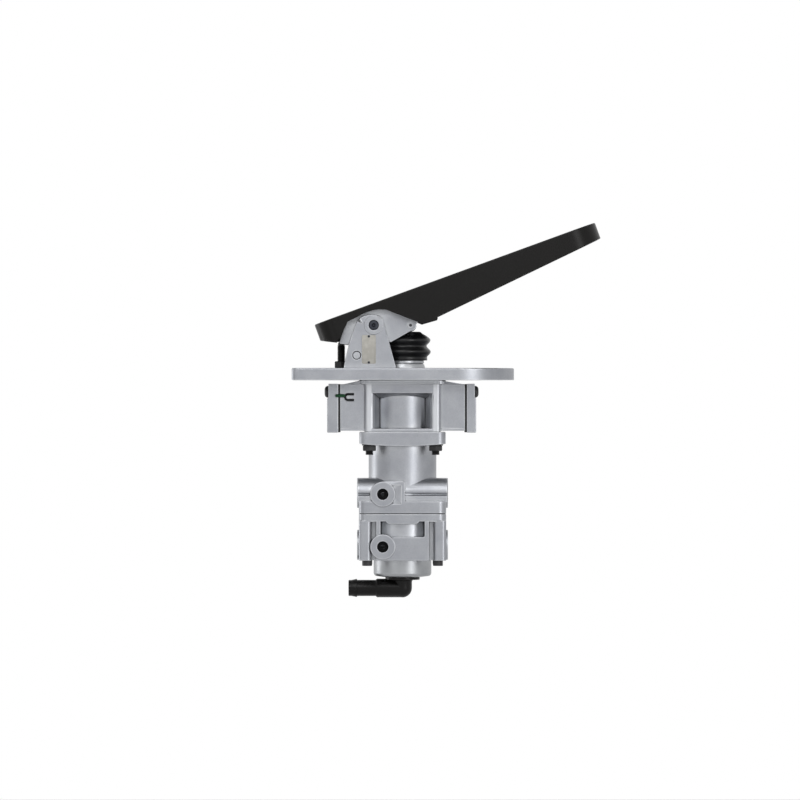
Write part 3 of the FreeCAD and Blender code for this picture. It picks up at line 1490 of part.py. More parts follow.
def make_side(side):
    """The seal, cover and sensor board of one wing."""
    name = "left" if side < 0 else "right"

    def span(near, far):
        """A pair of places on X, outward from the valve axis, in rising order."""
        if side < 0:
            return (-as_size(far), -as_size(near))
        return (near, far)

    seal_out = S.wing_reach + S.seal_thick
    cover_thick = S.left_cover_thick if side < 0 else S.right_cover_thick
    cover_out = seal_out + cover_thick
    seal_sheet = block(
        f"{name}_seal_sheet",
        span(S.wing_reach, seal_out),
        (-S.cover_half_width + 0.5, S.cover_half_width - 0.5),
        (-S.cover_bottom + 0.4, -S.cover_top - 0.3),
    )
    seal_hole = block(
        f"{name}_seal_hole",
        span(S.wing_reach, seal_out),
        (-S.chamber_half_width, S.chamber_half_width),
        (-S.chamber_bottom, -S.chamber_top),
    )
    screw_holes = []
    for number, sign in enumerate((-1, 1)):
        at = (side * S.wing_reach, sign * S.cover_screw_half_pitch, -S.cover_screw_drop)
        along = "-X" if side < 0 else "X"
        screw_holes.append(
            rod(f"{name}_seal_screw_hole_{number}", S.cover_screw_dia / 2, S.seal_thick, at, along)
        )
    keep(f"{name}_cover_seal", cut(f"{name}_seal_cut", seal_sheet, seal_hole, *screw_holes))

    lump = block(
        f"{name}_cover_lump",
        span(seal_out, cover_out),
        (-S.cover_half_width, S.cover_half_width),
        (-S.cover_bottom, -S.cover_top),
    )
    outer_line = side * cover_out.value

    def outer_edge(edge):
        box = edge.BoundBox
        return abs(box.XMin - outer_line) < 1e-3 and abs(box.XMax - outer_line) < 1e-3

    eased = rounded(f"{name}_cover_eased", lump, outer_edge, S.cover_edge_round)
    step = block(
        f"{name}_cover_step",
        span(cover_out - S.cover_step, cover_out + 1),
        (-S.cover_half_width - 1, S.cover_half_width + 1),
        (-S.cover_step_drop, -S.cover_top + 1),
    )
    wall = S.cover_wall
    hollow = block(
        f"{name}_cover_hollow",
        span(seal_out, cover_out - wall - S.cover_step),
        (-S.chamber_half_width, S.chamber_half_width),
        (-S.chamber_bottom, -S.chamber_top),
    )
    board_low = seal_out
    board_high = board_low + S.board_thick
    bosses = []
    for number, sign in enumerate((-1, 1)):
        boss_x = side * board_high
        boss_length = cover_out - wall - S.cover_step - board_high + 1
        y = sign * (S.chamber_half_width - S.cover_boss_round)
        middle = -(S.chamber_top + S.chamber_bottom) / 2
        along = "-X" if side < 0 else "X"
        bosses.append(rod(f"{name}_board_boss_{number}", S.cover_boss_round / 2, boss_length, (boss_x, y, middle), along))
    cover_holes = []
    for number, sign in enumerate((-1, 1)):
        at = (side * seal_out, sign * S.cover_screw_half_pitch, -S.cover_screw_drop)
        along = "-X" if side < 0 else "X"
        cover_holes.append(
            rod(f"{name}_cover_screw_hole_{number}", S.cover_screw_dia / 2, cover_thick, at, along)
        )
    if side < 0:
        cover_holes.append(seal_wire_rod("seal_wire_bed"))
    shell = cut(f"{name}_cover_shell", eased, step, hollow, *cover_holes)
    keep(f"{name}_cover", join(f"{name}_cover_whole", shell, *bosses))

    inset = S.board_margin
    board = block(
        f"{name}_board_sheet",
        span(board_low, board_high),
        (-S.chamber_half_width + inset, S.chamber_half_width - inset),
        (-S.chamber_bottom + inset, -S.chamber_top - inset),
    )
    middle = -(S.chamber_top + S.chamber_bottom) / 2
    chip = block(
        f"{name}_board_chip",
        span(board_low - S.board_chip_thick, board_low),
        (-S.board_chip_half, S.board_chip_half),
        (middle - S.board_chip_half, middle + S.board_chip_half),
    )
    keep(f"{name}_sensor_board", join(f"{name}_board_whole", board, chip))

    screws = []
    face = cover_out - S.cover_step
    shank_length = cover_thick - S.cover_step + S.seal_thick + S.cover_screw_bite
    for number, sign in enumerate((-1, 1)):
        at = (side * face, sign * S.cover_screw_half_pitch, -S.cover_screw_drop)
        inward = "X" if side < 0 else "-X"
        outward = "-X" if side < 0 else "X"
        shank = rod(f"{name}_cover_shank_{number}", S.cover_screw_dia / 2, shank_length, at, inward)
        head = cone(
            f"{name}_cover_head_{number}",
            S.cover_screw_head_dia / 2,
            S.cover_screw_head_dia / 3,
            S.cover_screw_head,
            at,
            outward,
        )
        screws.append(join(f"{name}_cover_screw_{number}", shank, head))
    return screws


def make_sides():
    screws = make_side(-1) + make_side(1)
    keep("cover_screws", group("cover_screw_set", *screws))


def make_studs():
    studs = []
    nuts = []
    low = NUT_FACE - S.flange_nut_height - S.stud_tail
    length = S.stud_bite - low
    for number, (x, y) in enumerate(corners_of(S.stud_half_pitch)):
        studs.append(rod(f"stud_{number}", S.stud_dia / 2, length, (x, y, low)))
        at = (x, y, NUT_FACE - S.flange_nut_height)
        nut = hexagon(f"stud_nut_hex_{number}", S.nut_across, S.flange_nut_height, at)
        bore = rod(f"stud_nut_bore_{number}", S.stud_dia / 2, S.flange_nut_height, at)
        nuts.append(cut(f"stud_nut_{number}", nut, bore))
    keep("housing_studs", group("housing_stud_set", *studs))
    keep("housing_nuts", group("housing_nut_set", *nuts))


def square_slab(name, half, low, high, corner):
    slab = slab_up(name, rectangle(half, half), low, high)
    ease(slab, f"{name}_corners", upright, corner)
    return slab


def joint_line(name, half, corner, low):
    """The thin step round a casting's edge that shows where two castings meet."""
    high = low + S.joint_line_height
    inner = square_slab(f"{name}_kept", half - S.joint_line_depth, low, high, corner - S.joint_line_depth)
    outer = slab_up(f"{name}_reach", rectangle(half + 1, half + 1), low, high)
    return cut(name, outer, inner)


def shoulder_block():
    """The cast shoulder that joins the two side ports, drawn end on."""
    half = S.shoulder_half_width
    top = -S.shoulder_top
    bend = S.shoulder_round
    line_top = -S.shoulder_line_top
    line_low = line_top - S.shoulder_line_width
    ledge = half + S.shoulder_ledge_proud
    foot = JOINT_LOW + S.lower_flange_thick - 1
    middle = bend * (1 - math.sqrt(0.5))
    inner = half - S.shoulder_line_depth
    rise = S.shoulder_line_depth / 2
    right = [
        (half - bend, top),
        (half - middle, top - middle, "via"),
        (half, top - bend),
        (half, line_top),
        (inner, line_top - rise),
        (inner, line_low + rise),
        (ledge, line_low),
        (ledge, foot),
    ]
    left = [(-point[0], *point[1:]) for point in reversed(right)]
    body = new_body("shoulder")
    sketch = outline(body, "shoulder_outline", "YZ_Plane", left + right, -S.shoulder_reach)
    pad(body, "shoulder_pad", sketch, 2 * S.shoulder_reach)
    return body


def make_valve_upper_body():
    flange_low = BLOCK_LOW - S.valve_flange_edge
    belly_points = [
        (-S.valve_flange_half, flange_low),
        (0, flange_low - S.valve_flange_belly, "via"),
        (S.valve_flange_half, flange_low),
        (S.valve_flange_half, BLOCK_LOW),
        (-S.valve_flange_half, BLOCK_LOW),
    ]
    belly = slab_across("flange_belly", belly_points, -S.valve_flange_half, S.valve_flange_half)
    square = square_slab(
        "flange_square", S.valve_flange_half, flange_low - S.valve_flange_belly - 1, BLOCK_LOW, S.valve_corner
    )
    flange = common("top_flange", belly, square)
    tower = rod(
        "primary_tower", S.valve_top_round, S.valve_joint - S.block_bottom - 1, (0, 0, JOINT_LOW + 1)
    )
    foot = square_slab(
        "foot_flange", S.valve_half, JOINT_LOW, JOINT_LOW + S.lower_flange_thick, S.valve_corner
    )
    bosses = []
    port_length = 2 * S.side_port_reach
    bosses.append(
        rod("upper_side_bosses", S.side_port_boss_round, port_length, (-S.side_port_reach, 0, SIDE_PORT_Z), "X")
    )
    bosses.append(
        rod(
            "upper_front_boss",
            S.front_port_boss_round,
            S.front_port_reach,
            (-S.front_port_place, -S.front_port_reach, FRONT_PORT_Z),
            "Y",
        )
    )
    pad_block = slab_across(
        "number_pad",
        [
            (-S.front_port_place, -S.valve_joint + S.lower_flange_thick),
            (S.number_pad_right, -S.valve_joint + S.lower_flange_thick),
            (S.number_pad_right, -S.number_pad_top),
            (-S.front_port_place, -S.number_pad_top),
        ],
        -S.pad_face,
        -S.supply_round,
    )
    right_line = S.number_pad_right.value
    top_line = -S.number_pad_top.value

    def pad_corner(edge):
        box = edge.BoundBox
        along_y = box.XLength < 1e-4 and box.ZLength < 1e-4
        return along_y and abs(box.XMin - right_line) < 1e-3 and abs(box.ZMin - top_line) < 1e-3

    ease(pad_block, "number_pad_corner_round", pad_corner, S.number_pad_corner)
    mass = join("upper_casting", flange, tower, foot, shoulder_block(), *bosses, pad_block)
    tools = [
        rod("primary_bore", S.primary_bore_round, S.primary_bore_depth, (0, 0, BLOCK_LOW - S.primary_bore_depth)),
    ]
    web_top = BLOCK_LOW - S.primary_bore_depth
    web_low = web_top - S.web_thick
    tools.append(rod("inlet_bore", S.inlet_seat_round, S.web_thick, (0, 0, web_low)))
    supply_low = web_low - S.supply_depth
    tools.append(rod("supply_bore", S.supply_round, S.supply_depth, (0, 0, supply_low)))
    tools.append(
        rod("relay_tube_way", S.supply_round - 3, supply_low - JOINT_LOW, (0, 0, JOINT_LOW))
    )
    depth = S.port_thread_depth
    for side in (-1, 1):
        name = "left" if side < 0 else "right"
        along = "X" if side < 0 else "-X"
        at = (side * S.side_port_reach, 0, SIDE_PORT_Z)
        tools.append(rod(f"upper_{name}_port", S.port_thread_round, depth, at, along))
    run = S.side_port_reach - S.supply_round + 1
    tools.append(rod("supply_passage", S.passage_round, run, (-S.side_port_reach, 0, SIDE_PORT_Z), "X"))
    riser_run = S.side_port_reach - S.riser_place + S.riser_round
    tools.append(rod("delivery_passage", S.riser_round, riser_run, (S.side_port_reach, 0, SIDE_PORT_Z), "-X"))
    tools.append(rod("delivery_riser", S.riser_round, web_top - SIDE_PORT_Z, (S.riser_place, 0, SIDE_PORT_Z)))
    tools.append(rod("relay_riser", S.riser_round, web_top - JOINT_LOW, (0, S.riser_place, JOINT_LOW)))
    front_at = (-S.front_port_place, -S.front_port_reach, FRONT_PORT_Z)
    tools.append(rod("upper_front_port", S.front_port_bore_round, S.front_port_depth, front_at, "Y"))
    tools.append(rod("upper_front_passage", S.front_passage_round, S.front_port_reach, front_at, "Y"))
    field_middle = -(S.number_field_top + S.number_field_bottom) / 2
    field_points = [
        (-S.number_field_left, -S.number_field_bottom),
        (-S.number_field_right, -S.number_field_bottom),
        (-S.number_field_right, -S.number_field_top),
        (-S.number_field_left, -S.number_field_top),
        (-S.number_field_left + S.number_field_bow, field_middle, "via"),
    ]
    tools.append(
        slab_across("number_field", field_points, -S.pad_face - 1, -S.pad_face + S.number_field_depth)
    )
    tools.append(joint_line("upper_joint_line", S.valve_half, S.valve_corner, JOINT_LOW))
    stud_hole = S.stud_dia / 2 + S.stud_air
    hole_length = S.valve_flange_edge + S.valve_flange_belly + 1
    for number, (x, y) in enumerate(corners_of(S.stud_half_pitch)):
        tools.append(rod(f"flange_stud_hole_{number}", stud_hole, hole_length, (x, y, BLOCK_LOW - hole_length)))
        tools.append(rod(f"nut_seat_{number}", S.nut_seat_round, S.valve_flange_belly + 1, (x, y, NUT_FACE), "-Z"))
    for number, (x, y) in enumerate(corners_of(S.body_screw_half_pitch)):
        tools.append(rod(f"foot_screw_hole_{number}", S.body_screw_dia / 2, S.body_screw_bite, (x, y, JOINT_LOW)))
    tools.append(ring_groove("housing_ring_groove", S.housing_ring_round, BLOCK_LOW))
    keep("valve_upper_body", cut("upper_body_finished", mass, *tools))


def make_valve_lower_body():
    flange_low = JOINT_LOW - S.lower_flange_drop
    flange = square_slab("lower_top_flange", S.valve_half, flange_low, JOINT_LOW, S.valve_corner)
    barrel = rod("lower_barrel", S.lower_barrel_round, S.lower_body_height, (0, 0, BODY_LOW))
    pillars = []
    for number, (sx, sy) in enumerate((sx, sy) for sx in (-1, 1) for sy in (-1, 1)):
        x = (S.pillar_inner, S.valve_half) if sx > 0 else (-S.valve_half, -S.pillar_inner)
        y = (S.pillar_inner_side, S.valve_half) if sy > 0 else (-S.valve_half, -S.pillar_inner_side)
        pillar = slab_up(
            f"pillar_{number}",
            [(x[0], y[0]), (x[1], y[0]), (x[1], y[1]), (x[0], y[1])],
            BODY_LOW,
            flange_low + 1,
        )
        ease(pillar, f"pillar_{number}_edges", upright, S.pillar_round)
        pillars.append(pillar)
    core_outline = rectangle(S.valve_half - S.recess_depth, S.valve_half - S.front_recess_depth)
    core = slab_up("lower_core", core_outline, BODY_LOW, flange_low + 1)
    step_points = [
        (-S.step_half, flange_low + 1),
        (-S.step_half, JOINT_LOW - S.step_drop + S.step_edge),
        (-S.step_half + S.step_edge, JOINT_LOW - S.step_drop),
        (S.step_half - S.step_edge, JOINT_LOW - S.step_drop),
        (S.step_half, JOINT_LOW - S.step_drop + S.step_edge),
        (S.step_half, flange_low + 1),
    ]
    step = slab_across("lower_step", step_points, -S.valve_half, S.valve_half)
    front_block = block(
        "lower_front_block",
        (-S.front_block_half, S.front_block_half),
        (-S.valve_half, S.valve_half),
        (BODY_LOW, flange_low + 1),
    )
    pocket_half = S.front_block_half - S.front_block_wall
    pocket_low = JOINT_LOW - S.front_block_drop
    pockets = []
    for side in (-1, 1):
        name = "front" if side < 0 else "rear"
        near, far = (-S.valve_half - 1, -S.front_pocket_floor) if side < 0 else (S.front_pocket_floor, S.valve_half + 1)
        points = [
            (-pocket_half, pocket_low),
            (pocket_half, pocket_low),
            (pocket_half, flange_low + 1),
            (-pocket_half, flange_low + 1),
        ]
        pocket = slab_across(f"{name}_pocket", points, near, far)
        floor_line = pocket_low.value

        def low_corner(edge, floor_line=floor_line):
            box = edge.BoundBox
            along_y = box.XLength < 1e-4 and box.ZLength < 1e-4
            return along_y and abs(box.ZMin - floor_line) < 1e-3

        ease(pocket, f"{name}_pocket_corners", low_corner, S.front_pocket_round)
        pockets.append(pocket)
    front_body = cut("lower_front_pocketed", front_block, *pockets)
    side_bosses = rod(
        "lower_side_bosses",
        S.side_port_boss_round,
        2 * S.side_port_reach,
        (-S.side_port_reach, 0, LOWER_SIDE_PORT_Z),
        "X",
    )
    front_boss = rod(
        "lower_front_boss",
        S.front_port_boss_round,
        S.front_port_reach,
        (-S.front_port_place, -S.front_port_reach, LOWER_FRONT_PORT_Z),
        "Y",
    )
    mass = join("lower_casting", flange, barrel, core, *pillars, step, front_body, side_bosses, front_boss)
    relay_low = JOINT_LOW - S.relay_bore_depth
    web_low = relay_low - S.lower_web_thick
    tools = [
        rod("relay_bore", S.relay_bore_round, S.relay_bore_depth, (0, 0, relay_low)),
        rod("lower_seat_bore", S.lower_seat_round, S.lower_web_thick, (0, 0, web_low)),
        rod("lower_supply_bore", S.supply_round, web_low - BODY_LOW, (0, 0, BODY_LOW)),
        rod("cap_spigot_bore", S.cap_spigot_round + S.seat_air, S.cap_spigot_height, (0, 0, BODY_LOW)),
    ]
    for side in (-1, 1):
        name = "left" if side < 0 else "right"
        along = "X" if side < 0 else "-X"
        at = (side * S.side_port_reach, 0, LOWER_SIDE_PORT_Z)
        tools.append(rod(f"lower_{name}_port", S.port_thread_round, S.port_thread_depth, at, along))
    run = S.side_port_reach - S.supply_round + 1
    tools.append(
        rod("lower_supply_passage", S.passage_round, run, (-S.side_port_reach, 0, LOWER_SIDE_PORT_Z), "X")
    )
    riser_run = S.side_port_reach - S.riser_place + S.riser_round
    tools.append(
        rod("lower_delivery_passage", S.riser_round, riser_run, (S.side_port_reach, 0, LOWER_SIDE_PORT_Z), "-X")
    )
    tools.append(
        rod("lower_riser", S.riser_round, relay_low - LOWER_SIDE_PORT_Z, (S.riser_place, 0, LOWER_SIDE_PORT_Z))
    )
    front_at = (-S.front_port_place, -S.front_port_reach, LOWER_FRONT_PORT_Z)
    tools.append(rod("lower_front_port", S.front_port_bore_round, S.front_port_depth, front_at, "Y"))
    tools.append(rod("lower_front_passage", S.front_passage_round, S.front_port_reach, front_at, "Y"))
    for number, (x, y) in enumerate(corners_of(S.body_screw_half_pitch)):
        tools.append(rod(f"pillar_screw_hole_{number}", S.body_screw_dia / 2 + 0.3, S.lower_body_height, (x, y, BODY_LOW)))
    tools.append(ring_groove("body_ring_groove", S.body_ring_round, JOINT_LOW))
    keep("valve_lower_body", cut("lower_body_finished", mass, *tools))


def make_body_screws():
    screws = []
    low = BODY_LOW - S.body_screw_head
    for number, (x, y) in enumerate(corners_of(S.body_screw_half_pitch)):
        head = rod(f"body_head_{number}", S.body_screw_head_dia / 2, S.body_screw_head, (x, y, low))
        shank_length = S.lower_body_height + S.body_screw_bite
        shank = rod(f"body_shank_{number}", S.body_screw_dia / 2, shank_length, (x, y, BODY_LOW))
        socket = hexagon(f"body_socket_{number}", S.body_screw_socket, S.body_screw_head / 2, (x, y, low))
        screws.append(cut(f"body_screw_{number}", join(f"body_screw_mass_{number}", head, shank), socket))
    keep("body_screws", group("body_screw_set", *screws))


def ring_groove(name, radius, top):
    """The square groove that a joint ring lies in, open upwards."""
    wire = S.ring_wire / 2
    at = (0, 0, top - S.ring_wire)
    outer = rod(f"{name}_outer", radius + wire, S.ring_wire, at)
    inner = rod(f"{name}_inner", radius - wire, S.ring_wire, at)
    return cut(name, outer, inner)


def make_seals():
    """Rings that lie in the joint faces between the castings."""
    wire = S.ring_wire / 2
    keep("housing_seal", ring("housing_ring", S.housing_ring_round, wire, (0, 0, BLOCK_LOW - wire)))
    keep("body_seal", ring("body_ring", S.body_ring_round, wire, (0, 0, JOINT_LOW - wire)))


def make_bottom_cap():
    cap_top = BODY_LOW + S.cap_spigot_height
    rim_low = BODY_LOW - S.bottom_cap_height
    fillet = S.bottom_cap_fillet
    vent_top = CAP_LOW + S.vent_depth
    stem_fit = S.valve_stem_round + S.running_fit
    guide_top = cap_top + 2
    cap = turned(
        "bottom_cap_turned",
        [
            (stem_fit, vent_top),
            (S.vent_round, vent_top),
            (S.vent_round, CAP_LOW),
            (S.exhaust_flange_round + 2, CAP_LOW),
            (S.bottom_cap_round - fillet, rim_low),
            (S.bottom_cap_round - 0.3 * fillet, rim_low + 0.3 * fillet, "via"),
            (S.bottom_cap_round, rim_low + fillet),
            (S.bottom_cap_round, BODY_LOW),
            (S.cap_spigot_round, BODY_LOW),
            (S.cap_spigot_round, cap_top),
            (S.supply_round - 1, cap_top),
            (S.cap_guide_round, cap_top),
            (S.cap_guide_round, guide_top),
            (stem_fit, guide_top),
        ],
    )
    keep("bottom_cap", cap)


def make_exhaust():
    neck = S.exhaust_neck_round
    tube_z = CAP_LOW - S.exhaust_drop
    flange_low = CAP_LOW - S.exhaust_flange_thick
    flange = rod(
        "exhaust_flange", S.exhaust_flange_round, S.exhaust_flange_thick, (0, 0, flange_low)
    )
    snap = rod("exhaust_snap", S.vent_round - S.seat_air, S.exhaust_snap_height, (0, 0, CAP_LOW))
    stub = rod("exhaust_neck", neck, CAP_LOW - tube_z, (0, 0, tube_z))
    knuckle = doc.addObject("Part::Sphere", "exhaust_knuckle")
    knuckle.Radius = neck.value
    bind(knuckle, "Radius", neck)
    place(knuckle, 0, 0, tube_z)
    tube = rod("exhaust_tube", S.exhaust_tube_round, S.exhaust_tube_back, (0, 0, tube_z), "-X")
    tail = rod("exhaust_tail", S.exhaust_tail_round, S.exhaust_tail, (0, 0, tube_z), "-X")
    barb_start = (-S.exhaust_barb_start, 0, tube_z)
    barb = cone(
        "exhaust_barb",
        S.exhaust_barb_round,
        S.exhaust_tail_round,
        S.exhaust_barb_length,
        barb_start,
        "-X",
    )
    gusset = slab_across(
        "exhaust_gusset",
        [(-17, tube_z), (-neck + 1, tube_z), (-neck + 1, flange_low + 0.5), (-S.exhaust_flange_round + 2, flange_low + 0.5)],
        -1.5,
        1.5,
    )
    mass = join("exhaust_mass", flange, snap, stub, knuckle, tube, tail, barb, gusset)
    bore = S.exhaust_bore_round
    down = rod("exhaust_bore_down", bore, CAP_LOW + S.exhaust_snap_height - tube_z, (0, 0, tube_z))
    turn = doc.addObject("Part::Sphere", "exhaust_bore_turn")
    turn.Radius = bore.value
    bind(turn, "Radius", bore)
    place(turn, 0, 0, tube_z)
    side = rod("exhaust_bore_side", bore, S.exhaust_tail, (0, 0, tube_z), "-X")
    keep("exhaust_elbow", cut("exhaust_finished", mass, down, turn, side))
    flap = turned(
        "exhaust_flap_turned",
        [
            (0, CAP_LOW + S.exhaust_snap_height),
            (S.vent_round - 1, CAP_LOW + S.exhaust_snap_height),
            (S.vent_round - 1, CAP_LOW + S.exhaust_snap_height + S.flap_thick),
            (0, CAP_LOW + S.exhaust_snap_height + S.flap_thick),
        ],
    )
    keep("exhaust_flap", flap)


WEB_TOP = BLOCK_LOW - S.primary_bore_depth
WEB_LOW = WEB_TOP - S.web_thick
PISTON_TOP = BLOCK_LOW - S.piston_start
RELAY_TOP = JOINT_LOW - S.relay_start
RELAY_FLOOR = JOINT_LOW - S.relay_bore_depth
LOWER_WEB_LOW = RELAY_FLOOR - S.lower_web_thick


def make_primary_piston():
    head_low = PISTON_TOP - S.piston_head_height
    boss_top = PISTON_TOP + S.piston_boss_height
    skirt = S.primary_bore_round - S.running_fit
    groove_in = skirt - S.ring_wire
    groove_mid = PISTON_TOP - S.piston_head_height / 2
    groove_half = S.ring_wire / 2
    stem_low = WEB_LOW + S.exhaust_gap
    piston = turned(
        "primary_piston_turned",
        [
            (0, head_low + 3),
            (S.piston_stem_bore, head_low + 3),
            (S.piston_stem_bore, stem_low),
            (S.piston_stem_round, stem_low),
            (S.piston_stem_round, head_low + 4),
            (S.piston_spring_round + S.spring_wire + 1, head_low + 4),
            (S.piston_spring_round + S.spring_wire + 1, head_low),
            (skirt, head_low),
            (skirt, groove_mid - groove_half),
            (groove_in, groove_mid - groove_half),
            (groove_in, groove_mid + groove_half),
            (skirt, groove_mid + groove_half),
            (skirt, PISTON_TOP),
            (S.piston_boss_round, PISTON_TOP),
            (S.piston_boss_round, boss_top),
            (0, boss_top),
        ],
    )
    keep("primary_piston", piston)
    wire = S.ring_wire / 2
    keep("primary_piston_seal", ring("primary_piston_ring", skirt - wire, wire, (0, 0, groove_mid)))
    plate_low = -S.guide_spigot_drop - S.rest_air - S.spring_plate_thick
    rubber = turned(
        "rubber_spring_turned",
        [
            (S.valve_stem_round, boss_top),
            (S.piston_boss_round - 1, boss_top),
            (S.piston_boss_round + 3, (boss_top + plate_low) / 2, "via"),
            (S.piston_boss_round - 1, plate_low),
            (S.valve_stem_round, plate_low),
        ],
    )
    keep("rubber_spring", rubber)
    coil = spring(
        "piston_return_coil", S.piston_spring_round, S.spring_wire / 2, WEB_TOP, head_low + 4, 3.5
    )
    keep("piston_return_spring", coil)


def make_double_valve(label, web_low, stem_length):
    """A rubber-faced valve on a hollow stem, closed against the seat above it."""
    disc_low = web_low - S.valve_disc_thick
    cup_low = disc_low - S.valve_cup_thick
    stem_low = web_low - stem_length
    disc = turned(
        f"{label}_disc_turned",
        [
            (S.valve_stem_bore, disc_low),
            (S.valve_disc_round, disc_low),
            (S.valve_disc_round, web_low - S.seat_air),
            (S.valve_stem_bore, web_low - S.seat_air),
        ],
    )
    keep(f"{label}_disc", disc)
    stem = turned(
        f"{label}_stem_turned",
        [
            (S.valve_stem_bore, stem_low),
            (S.valve_stem_round, stem_low),
            (S.valve_stem_round, cup_low),
            (S.valve_disc_round, cup_low),
            (S.valve_disc_round, disc_low),
            (S.valve_stem_bore, disc_low),
        ],
    )
    keep(f"{label}_stem", stem)
    return cup_low


def make_primary_valve():
    cup_low = make_double_valve("primary_valve", WEB_LOW, S.valve_stem_length)
    guide_top = WEB_LOW - S.guide_ring_place
    guide_low = guide_top - S.guide_ring_thick
    fit = S.relay_tube_round + S.running_fit
    guide = turned(
        "valve_guide_turned",
        [
            (fit, guide_low),
            (S.supply_round - S.seat_air, guide_low),
            (S.supply_round - S.seat_air, guide_top),
            (fit, guide_top),
        ],
    )
    keep("primary_valve_guide", guide)
    wire = S.valve_spring_wire / 2
    coil_round = S.valve_spring_round + 1
    keep("primary_valve_spring", spring("primary_valve_coil", coil_round, wire, guide_top, cup_low, 2.5))


def make_relay_piston():
    head_low = RELAY_TOP - S.relay_head_height
    tube_top = RELAY_TOP + S.relay_tube_rise
    skirt = S.relay_bore_round - S.running_fit
    groove_in = skirt - S.ring_wire
    groove_mid = RELAY_TOP - S.relay_head_height / 2
    groove_half = S.ring_wire / 2
    stem_low = LOWER_WEB_LOW + S.relay_gap
    tube_in = S.valve_stem_round + S.running_fit
    relay = turned(
        "relay_piston_turned",
        [
            (S.relay_stem_bore, stem_low),
            (S.relay_stem_round, stem_low),
            (S.relay_stem_round, head_low),
            (skirt, head_low),
            (skirt, groove_mid - groove_half),
            (groove_in, groove_mid - groove_half),
            (groove_in, groove_mid + groove_half),
            (skirt, groove_mid + groove_half),
            (skirt, RELAY_TOP),
            (S.relay_tube_round, RELAY_TOP),
            (S.relay_tube_round, tube_top),
            (tube_in, tube_top),
            (tube_in, RELAY_TOP - 1),
            (S.relay_stem_bore, RELAY_TOP - 1),
        ],
    )
    keep("relay_piston", relay)
    wire = S.ring_wire / 2
    keep("relay_piston_seal", ring("relay_piston_ring", skirt - wire, wire, (0, 0, groove_mid)))


def make_secondary_valve():
    cup_low = make_double_valve("secondary_valve", LOWER_WEB_LOW, S.lower_stem_length)
    spring_low = BODY_LOW + S.cap_spigot_height
    wire = S.valve_spring_wire / 2
    coil_round = S.valve_spring_round + 2.4
    keep("secondary_valve_spring", spring("secondary_valve_coil", coil_round, wire, spring_low, cup_low, 2.5))


def seal_wire_rod(name):
    cover_side = S.wing_reach + S.seal_thick + S.seal_wire_over_cover
    at = (-cover_side, SEAL_WIRE_Y, -S.seal_wire_drop)
    length = S.seal_thick + S.seal_wire_over_cover + S.seal_wire_over_wing
    return rod(name, S.seal_wire_round, length, at, "X")


def make_lead_seal():
    depth = SEAL_WIRE_Y
    wire = S.seal_loop_wire
    loop_z = -S.seal_loop_drop
    loop_round = S.seal_loop_round
    loop_x = -S.wing_reach + S.seal_loop_back
    half_turn = ring(
        "seal_loop_bend",
        loop_round,
        wire,
        (loop_x, depth, loop_z),
        180,
        FreeCAD.Rotation(FreeCAD.Vector(1, 0, 0), 90) * FreeCAD.Rotation(FreeCAD.Vector(0, 0, 1), 90),
    )
    upper = rod("seal_loop_upper", wire, S.seal_loop_straight, (loop_x, depth, loop_z + loop_round), "X")
    lower = rod("seal_loop_lower", wire, S.seal_loop_straight, (loop_x, depth, loop_z - loop_round), "X")
    loop = join("seal_loop_whole", half_turn, upper, lower)
    keep("seal_loop", loop)
    keep("seal_wire", cut("seal_wire_threaded", seal_wire_rod("seal_wire_bar"), loop))


def export_nodes():
    doc.recompute()
    for item in doc.Objects:
        if "Invalid" in item.State or "Error" in item.State:
            raise RuntimeError(f"{item.Name} did not build: {item.State}")
    for label, thing in NODES.items():
        if thing.Shape.isNull() or not thing.Shape.isValid():
            raise RuntimeError(f"{label} has no valid shape")
        if not thing.Shape.Solids:
            raise RuntimeError(f"{label} has no solid")
    os.makedirs("parts", exist_ok=True)
    for label, thing in NODES.items():
        thing.Shape.exportStep(f"parts/{label}.step")
        box = thing.Shape.BoundBox
        print(
            f"{label}: {len(thing.Shape.Solids)} solid, {thing.Shape.Volume / 1000:.2f} cm3, "
            f"X {box.XMin:.1f} {box.XMax:.1f}, Y {box.YMin:.1f} {box.YMax:.1f}, Z {box.ZMin:.1f} {box.ZMax:.1f}"
        )


make_mounting_plate()
make_type_plate()
make_pivot_pin()
make_cross_pin()
make_stop()
make_treadle()
make_tread_pad()
make_lever()
make_roller()
make_plunger()
make_boot()
make_upper_housing()
make_sides()
make_studs()
make_valve_upper_body()
make_valve_lower_body()
make_body_screws()
make_seals()
make_bottom_cap()
make_exhaust()
make_primary_piston()
make_primary_valve()
make_relay_piston()
make_secondary_valve()
make_lead_seal()
export_nodes()
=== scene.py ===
import json
import math

import bmesh
import bpy
from mathutils import Matrix, Vector
from mathutils.bvhtree import BVHTree


